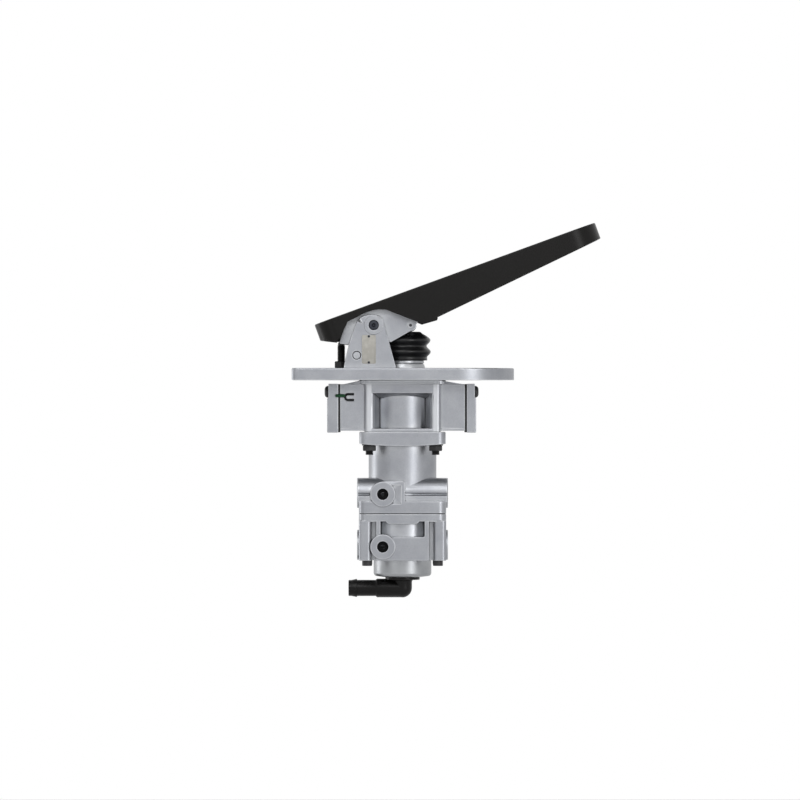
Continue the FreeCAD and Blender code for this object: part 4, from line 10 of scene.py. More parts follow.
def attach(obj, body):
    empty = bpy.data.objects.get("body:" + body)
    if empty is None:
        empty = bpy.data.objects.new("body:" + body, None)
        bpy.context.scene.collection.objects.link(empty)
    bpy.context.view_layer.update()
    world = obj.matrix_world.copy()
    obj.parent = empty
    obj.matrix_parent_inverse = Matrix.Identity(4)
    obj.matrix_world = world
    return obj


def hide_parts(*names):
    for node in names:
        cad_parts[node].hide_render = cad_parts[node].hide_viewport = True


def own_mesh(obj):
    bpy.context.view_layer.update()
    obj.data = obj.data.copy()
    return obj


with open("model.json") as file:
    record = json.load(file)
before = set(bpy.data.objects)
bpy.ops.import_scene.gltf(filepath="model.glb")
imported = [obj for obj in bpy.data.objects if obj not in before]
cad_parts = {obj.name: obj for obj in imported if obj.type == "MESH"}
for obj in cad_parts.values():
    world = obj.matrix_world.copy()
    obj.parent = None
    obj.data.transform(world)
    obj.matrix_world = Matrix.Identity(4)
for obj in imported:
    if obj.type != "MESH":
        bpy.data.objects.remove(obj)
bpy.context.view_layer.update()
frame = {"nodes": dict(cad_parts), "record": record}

MM = 0.001
PIVOT_PLACE = (-28.7, 0, 54.7)
PIVOT = Vector(PIVOT_PLACE) * MM
TILT = math.radians(20.05)
FINE = 64

# How the corners of castings and covers are broken
MERGE_REACH = 0.02 * MM
FLAT_ANGLE = math.radians(0.5)
CORNER_ANGLE = math.radians(32)


# Shader maths

class Wire:
    """A shader socket that can be used in Python expressions."""

    def __init__(self, paint, socket):
        self.paint = paint
        self.socket = socket

    def maths(self, operation, first, second):
        return self.paint.node("ShaderNodeMath", {"operation": operation}, {0: first, 1: second})

    def __add__(self, other):
        return self.maths("ADD", self, other)

    __radd__ = __add__

    def __mul__(self, other):
        return self.maths("MULTIPLY", self, other)

    __rmul__ = __mul__

    def ramp(self, low, high, start=0.0, end=1.0):
        """This value stretched from one range onto another, and held inside it."""
        return self.paint.node(
            "ShaderNodeMapRange",
            {"clamp": True},
            {"Value": self, "From Min": low, "From Max": high, "To Min": start, "To Max": end},
        )


class Paint:
    """One material, built node by node round a principled shader."""

    def __init__(self, name, **steady):
        self.material = bpy.data.materials.new(name)
        self.material.use_nodes = True
        self.tree = self.material.node_tree
        self.tree.nodes.clear()
        self.output = self.tree.nodes.new("ShaderNodeOutputMaterial")
        self.shader = self.tree.nodes.new("ShaderNodeBsdfPrincipled")
        self.tree.links.new(self.shader.outputs[0], self.output.inputs["Surface"])
        for socket, value in steady.items():
            self.shader.inputs[socket.replace("_", " ")].default_value = value

    def node(self, kind, settings=None, values=None, out=0):
        made = self.tree.nodes.new(kind)
        for key, value in (settings or {}).items():
            setattr(made, key, value)
        for key, value in (values or {}).items():
            self.feed(made.inputs[key], value)
        return Wire(self, made.outputs[out])

    def feed(self, socket, value):
        if isinstance(value, Wire):
            self.tree.links.new(value.socket, socket)
        else:
            socket.default_value = value

    def place(self, stretch=(1, 1, 1)):
        spot = self.node("ShaderNodeTexCoord", out="Object")
        if stretch == (1, 1, 1):
            return spot
        return self.node("ShaderNodeMapping", {}, {"Vector": spot, "Scale": stretch})

    def noise(self, size, detail=3.0, rough=0.6, stretch=(1, 1, 1)):
        """Noise whose blotches are about this many millimetres across."""
        return self.node(
            "ShaderNodeTexNoise",
            {},
            {
                "Vector": self.place(stretch),
                "Scale": 1 / (size * MM),
                "Detail": detail,
                "Roughness": rough,
            },
        )

    def mix(self, mask, first, second):
        """One colour going over to another as the mask rises."""
        made = self.tree.nodes.new("ShaderNodeMix")
        made.data_type = "RGBA"
        self.feed(made.inputs[0], mask)
        self.feed(made.inputs[6], first)
        self.feed(made.inputs[7], second)
        return Wire(self, made.outputs[2])

    def colour(self, value):
        self.feed(self.shader.inputs["Base Color"], value)

    def rough(self, value):
        self.feed(self.shader.inputs["Roughness"], value)

    def bump(self, height, depth, strength=1.0):
        """Relief this many millimetres deep."""
        relief = self.node(
            "ShaderNodeBump", {}, {"Height": height, "Distance": depth * MM, "Strength": strength}
        )
        self.feed(self.shader.inputs["Normal"], relief)


def tone(red, green=None, blue=None):
    """A linear colour from the values that a picture editor shows, 0 to 255."""
    shown = (red, red if green is None else green, red if blue is None else blue)
    return tuple(((part / 255 + 0.055) / 1.055) ** 2.4 for part in shown) + (1.0,)


def shut_in(paint, reach, inside=False):
    """How open a surface is, over this many millimetres: 1 where nothing stands near it."""
    return paint.node(
        "ShaderNodeAmbientOcclusion",
        {"samples": 8, "inside": inside},
        {"Distance": reach * MM},
        out="AO",
    )


def crevice(paint, reach):
    """Rises where a surface lies in a narrow corner."""
    return shut_in(paint, reach).ramp(0.35, 0.8, 1.0, 0.0)


def arris(paint, reach):
    """Rises along an outer edge."""
    return shut_in(paint, reach, True).ramp(0.6, 0.95, 1.0, 0.0)


def cast_aluminium(name, light, dark, grain=0.9):
    """Shot-blasted casting: fine sparkle and soft clouds, with painted light in its pockets, a painted highlight
    along its edges and painted shade in its corners.
    """
    paint = Paint(name, Metallic=0.9)
    cloud = paint.noise(22, 2.0)
    grit = paint.noise(grain, 3.0, 0.7)
    fleck = paint.noise(0.35, 2.0, 0.6)
    pit = tone(dark[0] - 22, dark[1] - 22, dark[2] - 20)
    spark = tone(light[0] + 26, light[1] + 26, light[2] + 26)
    # Painted light: surfaces enclosed within about 16 mm are lightened towards pale grey, standing in for light
    # bounced into recesses.
    painted_pocket_light = shut_in(paint, 16).ramp(0.25, 0.8, 1.0, 0.0)
    clouded = paint.mix(cloud.ramp(0.3, 0.7), tone(*dark), tone(*light))
    gritted = paint.mix(grit.ramp(0.35, 0.75) * 0.35, clouded, pit)
    flecked = paint.mix(fleck.ramp(0.6, 0.75) * 0.3, gritted, spark)
    with_pocket_light = paint.mix(painted_pocket_light * 0.62, flecked, tone(206, 208, 211))
    # Painted highlight: a pale line along outer edges, where rounded corners would catch the lamps.
    wear_and_painted_highlight = paint.mix(arris(paint, 1.3) * 0.55, with_pocket_light, tone(200, 202, 205))
    # Painted shade: surfaces in narrow corners, within about 2 mm, go over to dark grey.
    paint.colour(paint.mix(crevice(paint, 2.0) * 0.85, wear_and_painted_highlight, tone(54, 56, 60)))
    paint.rough(grit.ramp(0.3, 0.7, 0.34, 0.44))
    paint.bump(grit * 0.6 + fleck * 0.4, 0.05, 0.5)
    return paint.material


def moulded_black(name, base, grain, shine, depth):
    """Black moulding with a spark-eroded skin."""
    paint = Paint(name, Specular_IOR_Level=0.15)
    grit = paint.noise(grain, 3.0, 0.6)
    cloud = paint.noise(30, 2.0)
    lifted = tuple(part + 6 for part in base)
    mottle = grit.ramp(0.3, 0.7) * 0.6 + cloud.ramp(0.3, 0.7) * 0.4
    paint.colour(paint.mix(mottle, tone(*base), tone(*lifted)))
    paint.rough(grit.ramp(0.3, 0.7, shine - 0.06, shine + 0.08))
    paint.bump(grit, depth, 0.6)
    return paint.material


def turned_steel(name, base, shine, metal=1.0):
    """Machined steel with faint scratches, worn patches and painted shade in its sockets and corners."""
    paint = Paint(name, Metallic=metal)
    scratch = paint.noise(0.5, 2.0, 0.6, (1, 1, 0.1))
    cloud = paint.noise(6, 3.0)
    wear_and_painted_highlight = tuple(min(255, part + 30) for part in base)
    wear = cloud.ramp(0.45, 0.75) * 0.5 + scratch.ramp(0.55, 0.8) * 0.25
    rubbed = paint.mix(wear, tone(*base), tone(*wear_and_painted_highlight))
    # Painted shade: sockets and narrow corners, within about 3 mm, go over to near black.
    paint.colour(paint.mix(crevice(paint, 3) * 0.8, rubbed, tone(14, 14, 15)))
    paint.rough(scratch.ramp(0.3, 0.7, shine - 0.05, shine + 0.1))
    paint.bump(scratch, 0.01, 0.4)
    return paint.material


def soft_rubber(name, base, shine):
    """Moulded rubber with a faint bloom."""
    paint = Paint(name, Specular_IOR_Level=0.3)
    bloom = paint.noise(9, 3.0)
    skin = paint.noise(0.6, 2.0)
    dusty = tuple(part + 8 for part in base)
    paint.colour(paint.mix(bloom.ramp(0.4, 0.75) * 0.7, tone(*base), tone(*dusty)))
    paint.rough(bloom.ramp(0.3, 0.7, shine - 0.05, shine + 0.1))
    paint.bump(skin, 0.02, 0.4)
    return paint.material


CASTING = cast_aluminium("cast_aluminium", (150, 152, 156), (137, 139, 144))
TURNED_ALLOY = cast_aluminium("turned_aluminium", (152, 154, 156), (139, 141, 144), 0.6)
PEDAL_BLACK = moulded_black("pedal_black", (8, 7, 6), 0.8, 0.32, 0.01)
VENT_PLASTIC = moulded_black("vent_plastic", (7, 6, 6), 1.6, 0.32, 0.02)
DARK_STEEL = turned_steel("dark_steel", (44, 45, 48), 0.38)
BLACK_STEEL = turned_steel("black_steel", (15, 15, 16), 0.42, 0.2)
BORE_SHADE = moulded_black("bore_shade", (14, 15, 18), 0.8, 0.5, 0.02)
BRIGHT_STEEL = turned_steel("bright_steel", (170, 170, 172), 0.28)
PIN_STEEL = turned_steel("pin_steel", (48, 50, 56), 0.34)
CROSS_STEEL = turned_steel("cross_pin_steel", (150, 152, 156), 0.36)
BRONZE = turned_steel("bush_bronze", (170, 130, 84), 0.4)
BELLOWS_RUBBER = soft_rubber("bellows_rubber", (12, 12, 13), 0.3)
PAD_RUBBER = soft_rubber("pad_rubber", (26, 26, 26), 0.55)
SEAL_RUBBER = soft_rubber("seal_rubber", (12, 12, 13), 0.5)
BARE_PLATE = turned_steel("bare_plate", (140, 138, 132), 0.42, 0.25)
TAG_GREEN = moulded_black("tag_green", (10, 52, 26), 1.0, 0.4, 0.02)
LOOP_BLACK = moulded_black("loop_black", (8, 8, 9), 0.8, 0.4, 0.02)
BOARD_GREEN = moulded_black("board_green", (20, 74, 44), 0.6, 0.35, 0.02)

FINISHES = {
    "cast_aluminium": CASTING,
    "pedal_black": PEDAL_BLACK,
    "pad_rubber": PAD_RUBBER,
    "bellows_rubber": BELLOWS_RUBBER,
    "seal_rubber": SEAL_RUBBER,
    "bright_steel": BRIGHT_STEEL,
    "dark_steel": DARK_STEEL,
    "pin_steel": PIN_STEEL,
    "bare_plate": BARE_PLATE,
    "bush_bronze": BRONZE,
    "vent_plastic": VENT_PLASTIC,
    "board_green": BOARD_GREEN,
    "wire_green": TAG_GREEN,
    "loop_black": LOOP_BLACK,
    "spring_rubber": SEAL_RUBBER,
}
OWN_FINISH = {
    "roller_pin": CROSS_STEEL,
    "cross_pin": CROSS_STEEL,
    "plunger_guide": TURNED_ALLOY,
    "bottom_cap": TURNED_ALLOY,
}


def dress_nodes():
    """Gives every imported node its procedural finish."""
    for part in frame["record"]["subparts"]:
        thing = frame["nodes"][part["node"]]
        finish = OWN_FINISH.get(part["node"], FINISHES[part["material_slot"]])
        thing.data.materials.clear()
        thing.data.materials.append(finish)


def even_shading(thing):
    """Keeps flat faces flat beside their rounded corners."""
    even = thing.modifiers.new("even", "WEIGHTED_NORMAL")
    even.weight = 100
    even.keep_sharp = True


def soften(name, width, measure="OFFSET"):
    """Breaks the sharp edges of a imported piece."""
    thing = frame["nodes"][name]
    weld = thing.modifiers.new("weld", "WELD")
    weld.merge_threshold = MERGE_REACH
    flat = thing.modifiers.new("flat", "DECIMATE")
    flat.decimate_type = "DISSOLVE"
    flat.angle_limit = FLAT_ANGLE
    bevel = thing.modifiers.new("edge", "BEVEL")
    bevel.offset_type = measure
    bevel.width = width * MM
    bevel.segments = 2
    bevel.limit_method = "ANGLE"
    bevel.angle_limit = CORNER_ANGLE
    bevel.use_clamp_overlap = False
    even_shading(thing)


# Mesh building

def finish_piece(name, mesh, finish, body, slot, *nodes, angle=35):
    """Makes an object of a bmesh, shades it, hangs it from the body it rides on, and hides the imported nodes that it
    stands for.
    """
    data = bpy.data.meshes.new(name)
    mesh.to_mesh(data)
    mesh.free()
    thing = bpy.data.objects.new(name, data)
    bpy.context.scene.collection.objects.link(thing)
    data.materials.append(finish)
    data.shade_smooth()
    data.set_sharp_from_angle(angle=math.radians(angle))
    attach(thing, body)
    if nodes:
        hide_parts(*nodes)
    return thing


def clean(mesh):
    """Merges doubles and turns every face outwards."""
    bmesh.ops.remove_doubles(mesh, verts=mesh.verts, dist=0.002 * MM)
    bmesh.ops.recalc_face_normals(mesh, faces=mesh.faces)
    return mesh


def spun(profile, steps=FINE, mesh=None):
    """A closed solid of revolution about Z. The profile is radius and height in millimetres."""
    mesh = mesh or bmesh.new()
    points = [mesh.verts.new((radius * MM, 0, height * MM)) for radius, height in profile]
    edges = [mesh.edges.new(pair) for pair in zip(points, points[1:])]
    closed = profile[0][0] > 0 or profile[-1][0] > 0
    if closed:
        edges.append(mesh.edges.new((points[-1], points[0])))
    bmesh.ops.spin(
        mesh,
        geom=points + edges,
        cent=(0, 0, 0),
        axis=(0, 0, 1),
        angle=2 * math.pi,
        steps=steps,
        use_merge=True,
    )
    return clean(mesh)


def turn_to(mesh, along, at):
    """Moves a shape built about Z to a place, with its Z along a direction."""
    turn = Vector((0, 0, 1)).rotation_difference(Vector(along)).to_matrix().to_4x4()
    shift = Matrix.Translation(Vector(at) * MM)
    bmesh.ops.transform(mesh, matrix=shift @ turn, verts=mesh.verts)
    return mesh


def on_pedal(mesh):
    """Moves a shape from the pedal's own frame to its rest position."""
    turn = Matrix.Rotation(-TILT, 4, "Y")
    bmesh.ops.transform(mesh, matrix=Matrix.Translation(PIVOT) @ turn, verts=mesh.verts)
    return mesh


def merged(meshes):
    """One bmesh from several."""
    whole = bmesh.new()
    for mesh in meshes:
        data = bpy.data.meshes.new("part")
        mesh.to_mesh(data)
        mesh.free()
        whole.from_mesh(data)
        bpy.data.meshes.remove(data)
    return whole


def coil(radius, wire, low, high, turns, steps=28):
    """A coil spring about Z with closed wire ends."""
    mesh = bmesh.new()
    start = low + wire
    rise = high - low - 2 * wire
    ends = bmesh.ops.create_circle(mesh, segments=10, radius=wire * MM)
    turn = Matrix.Translation((radius * MM, 0, start * MM)) @ Matrix.Rotation(math.pi / 2, 4, "X")
    bmesh.ops.transform(mesh, matrix=turn, verts=ends["verts"])
    first = bmesh.ops.contextual_create(mesh, geom=mesh.edges[:])["faces"]
    count = int(turns * steps)
    bmesh.ops.spin(
        mesh,
        geom=first,
        cent=(0, 0, 0),
        axis=(0, 0, 1),
        dvec=(0, 0, rise * MM / count),
        angle=2 * math.pi * turns,
        steps=count,
    )
    bmesh.ops.recalc_face_normals(mesh, faces=mesh.faces)
    return mesh


def threaded(radius, low, high, pitch, inner=0.0, steps=32):
    """A threaded rod about Z, as rings of thread."""
    depth = pitch * 0.55
    profile = [(inner, low), (radius - depth, low)]
    height = low
    while height + pitch <= high:
        profile += [
            (radius, height + pitch * 0.45),
            (radius, height + pitch * 0.55),
            (radius - depth, height + pitch),
        ]
        height += pitch
    profile += [(radius - depth, high), (inner, high)]
    return spun(profile, steps)


def hex_bar(across, low, high, edge):
    """A hexagon with its rims broken."""
    mesh = bmesh.new()
    corner = across / math.sqrt(3)
    bmesh.ops.create_cone(
        mesh,
        cap_ends=True,
        segments=6,
        radius1=corner * MM,
        radius2=corner * MM,
        depth=(high - low) * MM,
    )
    bmesh.ops.translate(mesh, vec=(0, 0, (low + high) / 2 * MM), verts=mesh.verts)
    rims = [e for e in mesh.edges if abs(e.verts[0].co.z - e.verts[1].co.z) < 1e-7]
    bmesh.ops.bevel(
        mesh, geom=rims, offset=edge * MM, affect="EDGES", segments=1, profile=0.5, material=-1
    )
    return mesh


def socket_head(profile, apothem, steps=48):
    """A screw head turned about Z. The innermost rings are drawn out to a hexagon socket."""
    mesh = spun(profile, steps)
    third = math.pi / 3
    for vert in mesh.verts:
        reach = vert.co.xy.length / MM
        if 0.01 < reach < apothem + 0.02:
            turn = math.atan2(vert.co.y, vert.co.x) % third - third / 2
            vert.co.xy *= 1 / math.cos(turn)
    return mesh


def copies(mesh, places):
    """The same shape at several places, each a place or a matrix."""
    made = []
    for spot in places:
        twin = mesh.copy()
        matrix = spot if isinstance(spot, Matrix) else Matrix.Translation(Vector(spot) * MM)
        bmesh.ops.transform(twin, matrix=matrix, verts=twin.verts)
        made.append(twin)
    mesh.free()
    return merged(made)


def facing(at, along, spin=0.0):
    """The matrix that takes a shape built along Z to a place, pointing along a direction."""
    turn = Vector((0, 0, 1)).rotation_difference(Vector(along)).to_matrix().to_4x4()
    return Matrix.Translation(Vector(at) * MM) @ turn @ Matrix.Rotation(spin, 4, "Z")


def corners(half_x, half_y, z):
    return [(sx * half_x, sy * half_y, z) for sx in (-1, 1) for sy in (-1, 1)]


def in_number_field(vert):
    """Whether a point lies on the upper body's number pad, where the edges stay sharp."""
    x, y, z = vert.co / MM
    return -45.9 < y < -34 and -21 < x < 1 and -126 < z < -99


def ease_casting(name, node, width, reshape=None, measure="OFFSET"):
    """A merged copy of a casting with its corners broken.

    A point that the bevel sends astray goes back to the surface. Faces aren't tested, and some stray.
    """
    mesh = bmesh.new()
    mesh.from_mesh(frame["nodes"][node].data)
    bmesh.ops.remove_doubles(mesh, verts=mesh.verts, dist=MERGE_REACH)
    if reshape:
        reshape(mesh)
    if measure == "OFFSET":
        plain = [v for v in mesh.verts if not in_number_field(v)]
        edges = [e for e in mesh.edges if not all(map(in_number_field, e.verts))]
        bmesh.ops.dissolve_limit(mesh, angle_limit=FLAT_ANGLE, verts=plain, edges=edges)
    surface = BVHTree.FromBMesh(mesh)
    sharp = [
        e
        for e in mesh.edges
        if e.is_manifold
        and e.calc_face_angle() > CORNER_ANGLE
        and not all(map(in_number_field, e.verts))
    ]
    bmesh.ops.bevel(
        mesh,
        geom=sharp,
        offset=width * MM,
        offset_type=measure,
        affect="EDGES",
        segments=2,
        profile=0.5,
        material=-1,
        clamp_overlap=False,
    )
    inset_of_bevel = (0.42 * width + 0.02) * MM
    for vert in mesh.verts:
        spot, _, _, away = surface.find_nearest(vert.co)
        if away > inset_of_bevel:
            vert.co = spot
    thing = finish_piece(name, mesh, CASTING, "base", "cast_aluminium", node, angle=30)
    even_shading(thing)


def level_wing_necks(mesh):
    """Brings the necks of the housing's wings nearly flush with the wings, as on the real one."""
    crease, neck = 49.2, 37.9
    wing_half, neck_half = 33.0, 30.5
    wing_low, wing_top = -50.7, -4.0
    step, steepness, slack = 0.5, 2.5, 0.06
    for vert in mesh.verts:
        x, y, z = vert.co / MM
        back = (crease - abs(x)) / (crease - neck)
        on_slope = abs(abs(y) - (wing_half - (wing_half - neck_half) * back)) < slack
        if wing_low < z < wing_top and 0.01 < back < 1.01 and on_slope:
            vert.co.y = math.copysign(wing_half - step * min(1, back * steepness), y) * MM


# Soft pieces

def make_boot():
    foot, roof = 19.6, 48.5
    profile = [
        (20.1, 19.7), (24.6, 19.7), (24.9, 20.6), (24.7, 22.6), (24.9, 23.8),
        (26.2, 25.0), (27.7, 26.6), (28.3, 28.0), (28.2, 29.2), (27.0, 30.7),
        (25.2, 32.4), (24.2, 33.8), (24.4, 34.9), (26.0, 36.6), (27.5, 38.3),
        (28.0, 39.7), (27.8, 41.0), (26.4, 42.6), (23.6, 44.5), (20.6, 46.2),
        (19.0, 47.3), (18.3, 48.1), (17.4, roof - 0.1), (15.6, roof - 0.2), (14.15, roof - 0.9),
        (14.15, 45.4), (16.6, 45.2), (19.6, 44.2), (23.0, 42.0), (25.4, 40.0),
        (24.6, 38.2), (22.6, 36.0), (22.2, 34.2), (23.6, 31.6), (25.8, 29.0),
        (25.4, 27.4), (23.4, 25.8), (22.4, 24.4), (20.1, 23.0),
    ]
    thing = finish_piece(
        "boot_bellows", spun(profile, 96), BELLOWS_RUBBER, "base", "bellows_rubber", "boot", angle=80
    )
    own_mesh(thing)


def make_inner_springs():
    profile = [(5.1, -43.9), (15.8, -43.9)]
    for ring in range(6):
        height = -43.0 + ring * 4.9
        profile += [(17.4, height + 1.2), (19.2, height + 2.6), (17.2, height + 4.0)]
    profile += [(15.8, -13.1), (5.1, -13.1)]
    rubber = finish_piece(
        "rubber_spring_block", spun(profile), SEAL_RUBBER, "base", "spring_rubber", "rubber_spring"
    )
    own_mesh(rubber)
    air = 0.05
    for name, node, joint, radius, wire, low, high, turns, travel in (
        ("return_coil", "piston_return_spring", "primary_piston_slide", 14.0, 1.2, -88.0, -64.0, 3.5, 3.2),
        ("upper_valve_coil", "primary_valve_spring", "primary_valve_slide", 9.6, 0.8, -114.0, -104.0, 2.5, 2.02),
        ("lower_valve_coil", "secondary_valve_spring", "secondary_valve_slide", 11.0, 0.8, -175.9, -163.0, 2.5, 1.82),
    ):
        spring = coil(radius, wire, low + air, high - air, turns)
        thing = finish_piece(name, spring, BRIGHT_STEEL, "base", "bright_steel", node, angle=60)
        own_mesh(thing)


# Fasteners and small fittings

NUT_SEAT = -63.7
NUT_ACROSS = 13
NUT_EDGE = 0.7
THREAD_PITCH = 1.25
STUD_PLACES = corners(33, 33, 0)
BODY_SCREW_PLACES = corners(35.3, 35.3, 0)
COVER_SCREW_HALF_PITCH = 22
LEVER_SCREW_HALF_PITCH = 22


def make_flange_bolts():
    thread = threaded(4.0, NUT_SEAT - 10.9, NUT_SEAT - 0.5, THREAD_PITCH)
    shank = spun([(0, NUT_SEAT - 0.6), (3.4, NUT_SEAT - 0.6), (3.4, 9), (0, 9)], 32)
    studs = copies(merged([thread, shank]), STUD_PLACES)
    finish_piece("flange_studs", studs, BLACK_STEEL, "base", "dark_steel", "housing_studs")
    washer = spun(
        [
            (4.1, NUT_SEAT - 1.6),
            (7.4, NUT_SEAT - 1.6),
            (7.5, NUT_SEAT - 0.8),
            (7.5, NUT_SEAT),
            (4.1, NUT_SEAT),
        ],
        40,
    )
    body = hex_bar(NUT_ACROSS, NUT_SEAT - 7.0, NUT_SEAT - 1.5, NUT_EDGE)
    nuts = copies(merged([washer, body]), STUD_PLACES)
    finish_piece("flange_nuts", nuts, BLACK_STEEL, "base", "dark_steel", "housing_nuts")


def make_body_screws():
    low, top, length = -185.2, -179.9, 55.2
    rim, socket, teeth, tooth_depth = 5.0, 2.5, 48, 0.025
    head = socket_head(
        [
            (0, low + 2.7),
            (socket, low + 2.6),
            (socket, low + 0.2),
            (2.8, low),
            (4.5, low),
            (rim, low + 0.5),
            (rim, top),
            (3.0, top),
            (3.0, top + length),
            (0, top + length),
        ],
        socket,
        teeth,
    )
    knurl = 2 * math.pi / teeth
    for vert in head.verts:
        if vert.co.xy.length / MM > rim - 0.05 and vert.co.z / MM < top + 0.1:
            tooth = round(math.atan2(vert.co.y, vert.co.x) / knurl)
            vert.co.xy *= 1.0 if tooth % 2 else 1 - tooth_depth
    screws = copies(head, BODY_SCREW_PLACES)
    finish_piece("body_screw_heads", screws, BLACK_STEEL, "base", "dark_steel", "body_screws", angle=25)


def button_head(radius, height, socket, shank, length):
    """A button-head screw that points along Z, with its seat at the origin."""
    floor = height * 0.35
    return socket_head(
        [
            (0, floor),
            (socket, floor),
            (socket, height * 0.92),
            (socket + 0.3, height),
            (radius * 0.57, height * 0.96),
            (radius * 0.8, height * 0.78),
            (radius * 0.95, height * 0.46),
            (radius, height * 0.14),
            (radius * 0.98, 0),
            (shank, 0),
            (shank, -length),
            (0, -length),
        ],
        socket,
    )


def make_cover_screws():
    places = []
    for side, seat in ((-1, 73.9), (1, 72.1)):
        for y in (-COVER_SCREW_HALF_PITCH, COVER_SCREW_HALF_PITCH):
            places.append(facing((side * seat, y, -11.7), (side, 0, 0), 0.3 * y))
    heads = copies(button_head(6.0, 3.85, 2.0, 3.0, 19.0), places)
    finish_piece("cover_button_screws", heads, BLACK_STEEL, "base", "dark_steel", "cover_screws")


def make_lever_screws():
    places = [
        facing((along, y, 9.64), (0, 0, -1), along)
        for along in (-15, 15)
        for y in (-LEVER_SCREW_HALF_PITCH, LEVER_SCREW_HALF_PITCH)
    ]
    heads = on_pedal(copies(button_head(5.0, 3.4, 1.9, 3.0, 7.9), places))
    finish_piece("lever_button_screws", heads, BLACK_STEEL, "pedal", "dark_steel", "lever_screws")


def make_stop():
    thread = threaded(4.0, 1.0, 35.5, THREAD_PITCH)
    tip = spun([(0, 35.4), (3.3, 35.4), (3.4, 36.6), (2.4, 38.0), (0, 38.0)], 32)
    place = Matrix.Translation((-61.3 * MM, 0, 0))
    screw = copies(merged([thread, tip]), [place])
    finish_piece("stop_screw", screw, BLACK_STEEL, "base", "dark_steel", "stop_bolt")
    nut = copies(hex_bar(NUT_ACROSS, 12.0, 18.9, NUT_EDGE), [place])
    finish_piece("stop_lock_nut", nut, BLACK_STEEL, "base", "dark_steel", "stop_nut")


def turned_pin(half_length, half_profile):
    """A pin about Z that is the same at both ends. The half profile runs from its middle out."""
    upper = [(radius, half_length - back) for radius, back in half_profile]
    return spun([(radius, -height) for radius, height in reversed(upper)] + upper, 56)


def make_pins():
    pivot = turned_pin(
        43.7,
        [
            (5.0, 10.2), (5.0, 9.15), (4.22, 9.1), (4.22, 8.0), (5.0, 7.95),
            (5.0, 0.5), (4.5, 0), (1.9, 0), (1.3, 0.9), (0, 1.5),
        ],
    )
    turn_to(pivot, (0, 1, 0), PIVOT_PLACE)
    finish_piece("pivot_pin_turned", pivot, PIN_STEEL, "base", "pin_steel", "pivot_pin")
    cross = turned_pin(
        44.0,
        [
            (4.1, 20), (4.1, 6.05), (4.34, 6.0), (4.34, 2.0),
            (3.72, 1.9), (3.72, 0.3), (3.5, 0), (0, 0),
        ],
    )
    turn_to(cross, (0, 1, 0), (-45.6, 0, 24.6))
    finish_piece("cross_pin_turned", cross, CROSS_STEEL, "base", "pin_steel", "cross_pin")


def make_type_plate():
    """The bare plate on the near ear: a raised rim round an empty field."""
    middle = Vector((-33.5, -44.3, 30.5)) * MM
    mesh = bmesh.new()
    bmesh.ops.create_cube(mesh, size=1)
    size = Matrix.Diagonal((13.8 * MM, 0.6 * MM, 28.4 * MM, 1))
    bmesh.ops.transform(mesh, matrix=Matrix.Translation(middle) @ size, verts=mesh.verts)
    uprights = [e for e in mesh.edges if abs(e.verts[0].co.y - e.verts[1].co.y) > 1e-5]
    bmesh.ops.bevel(
        mesh, geom=uprights, offset=1.2 * MM, affect="EDGES", segments=4, profile=0.5, material=-1
    )
    front = min(mesh.faces, key=lambda face: face.calc_center_median().y)
    bmesh.ops.inset_region(mesh, faces=[front], thickness=0.9 * MM, depth=0)
    bmesh.ops.inset_region(mesh, faces=[front], thickness=0.15 * MM, depth=-0.12 * MM)
    finish_piece("blank_type_plate", mesh, BARE_PLATE, "base", "bare_plate", "type_plate")
    dome = spun(
        [(0, 0.5), (0.5, 0.46), (0.95, 0.26), (1.2, 0.0), (0.78, 0.0), (0.78, -4.0), (0, -4.0)], 24
    )
    places = [facing((-33.5, -44.6, 30.5 + side * 13), (0, -1, 0)) for side in (-1, 1)]
    rivets = copies(dome, places)
    finish_piece("plate_rivets", rivets, PIN_STEEL, "base", "bright_steel", "type_plate_rivets")


def drawn_out(mesh, edges, step):
    """Extrudes a ring of edges by a step, and gives the ring at its new end."""
    made = bmesh.ops.extrude_edge_only(mesh, edges=edges)["geom"]
    verts = [item for item in made if isinstance(item, bmesh.types.BMVert)]
    bmesh.ops.translate(mesh, vec=Vector(step) * MM, verts=verts)
    rim = set(verts)
    return verts, [e for e in made if isinstance(e, bmesh.types.BMEdge) and rim.issuperset(e.verts)]


def make_sealing_tag():
    near, arm = -35.1, 6.0
    tag = spun(
        [(0, -5.3), (1.1, -5.3), (1.4, -5.0), (1.5, -4.2), (1.5, 3.5), (1.2, 4.2), (0, 4.3)], 24
    )
    turn_to(tag, (1, 0, 0), (-61.4, near, -15.6))
    finish_piece("green_tag", tag, TAG_GREEN, "base", "wire_green", "seal_wire")
    loop = bmesh.new()
    ring = bmesh.ops.create_circle(loop, segments=12, radius=1.12 * MM)["verts"]
    stand = Matrix.Translation(Vector((arm, 0, 2.9)) * MM) @ Matrix.Rotation(math.pi / 2, 4, "Y")
    bmesh.ops.transform(loop, matrix=stand, verts=ring)
    verts, rim = drawn_out(loop, loop.edges[:], (-arm, 0, 0))
    bent = bmesh.ops.spin(
        loop, geom=verts + rim, cent=(0, 0, 0), axis=(0, -1, 0), angle=math.pi, steps=16
    )["geom_last"]
    drawn_out(loop, [item for item in bent if isinstance(item, bmesh.types.BMEdge)], (arm, 0, 0))
    bmesh.ops.holes_fill(loop, edges=[e for e in loop.edges if e.is_boundary])
    clean(loop)
    bmesh.ops.translate(loop, vec=Vector((-54.3, near, -17.0)) * MM, verts=loop.verts)
    finish_piece("sealing_loop", loop, LOOP_BLACK, "base", "loop_black", "seal_loop", angle=60)


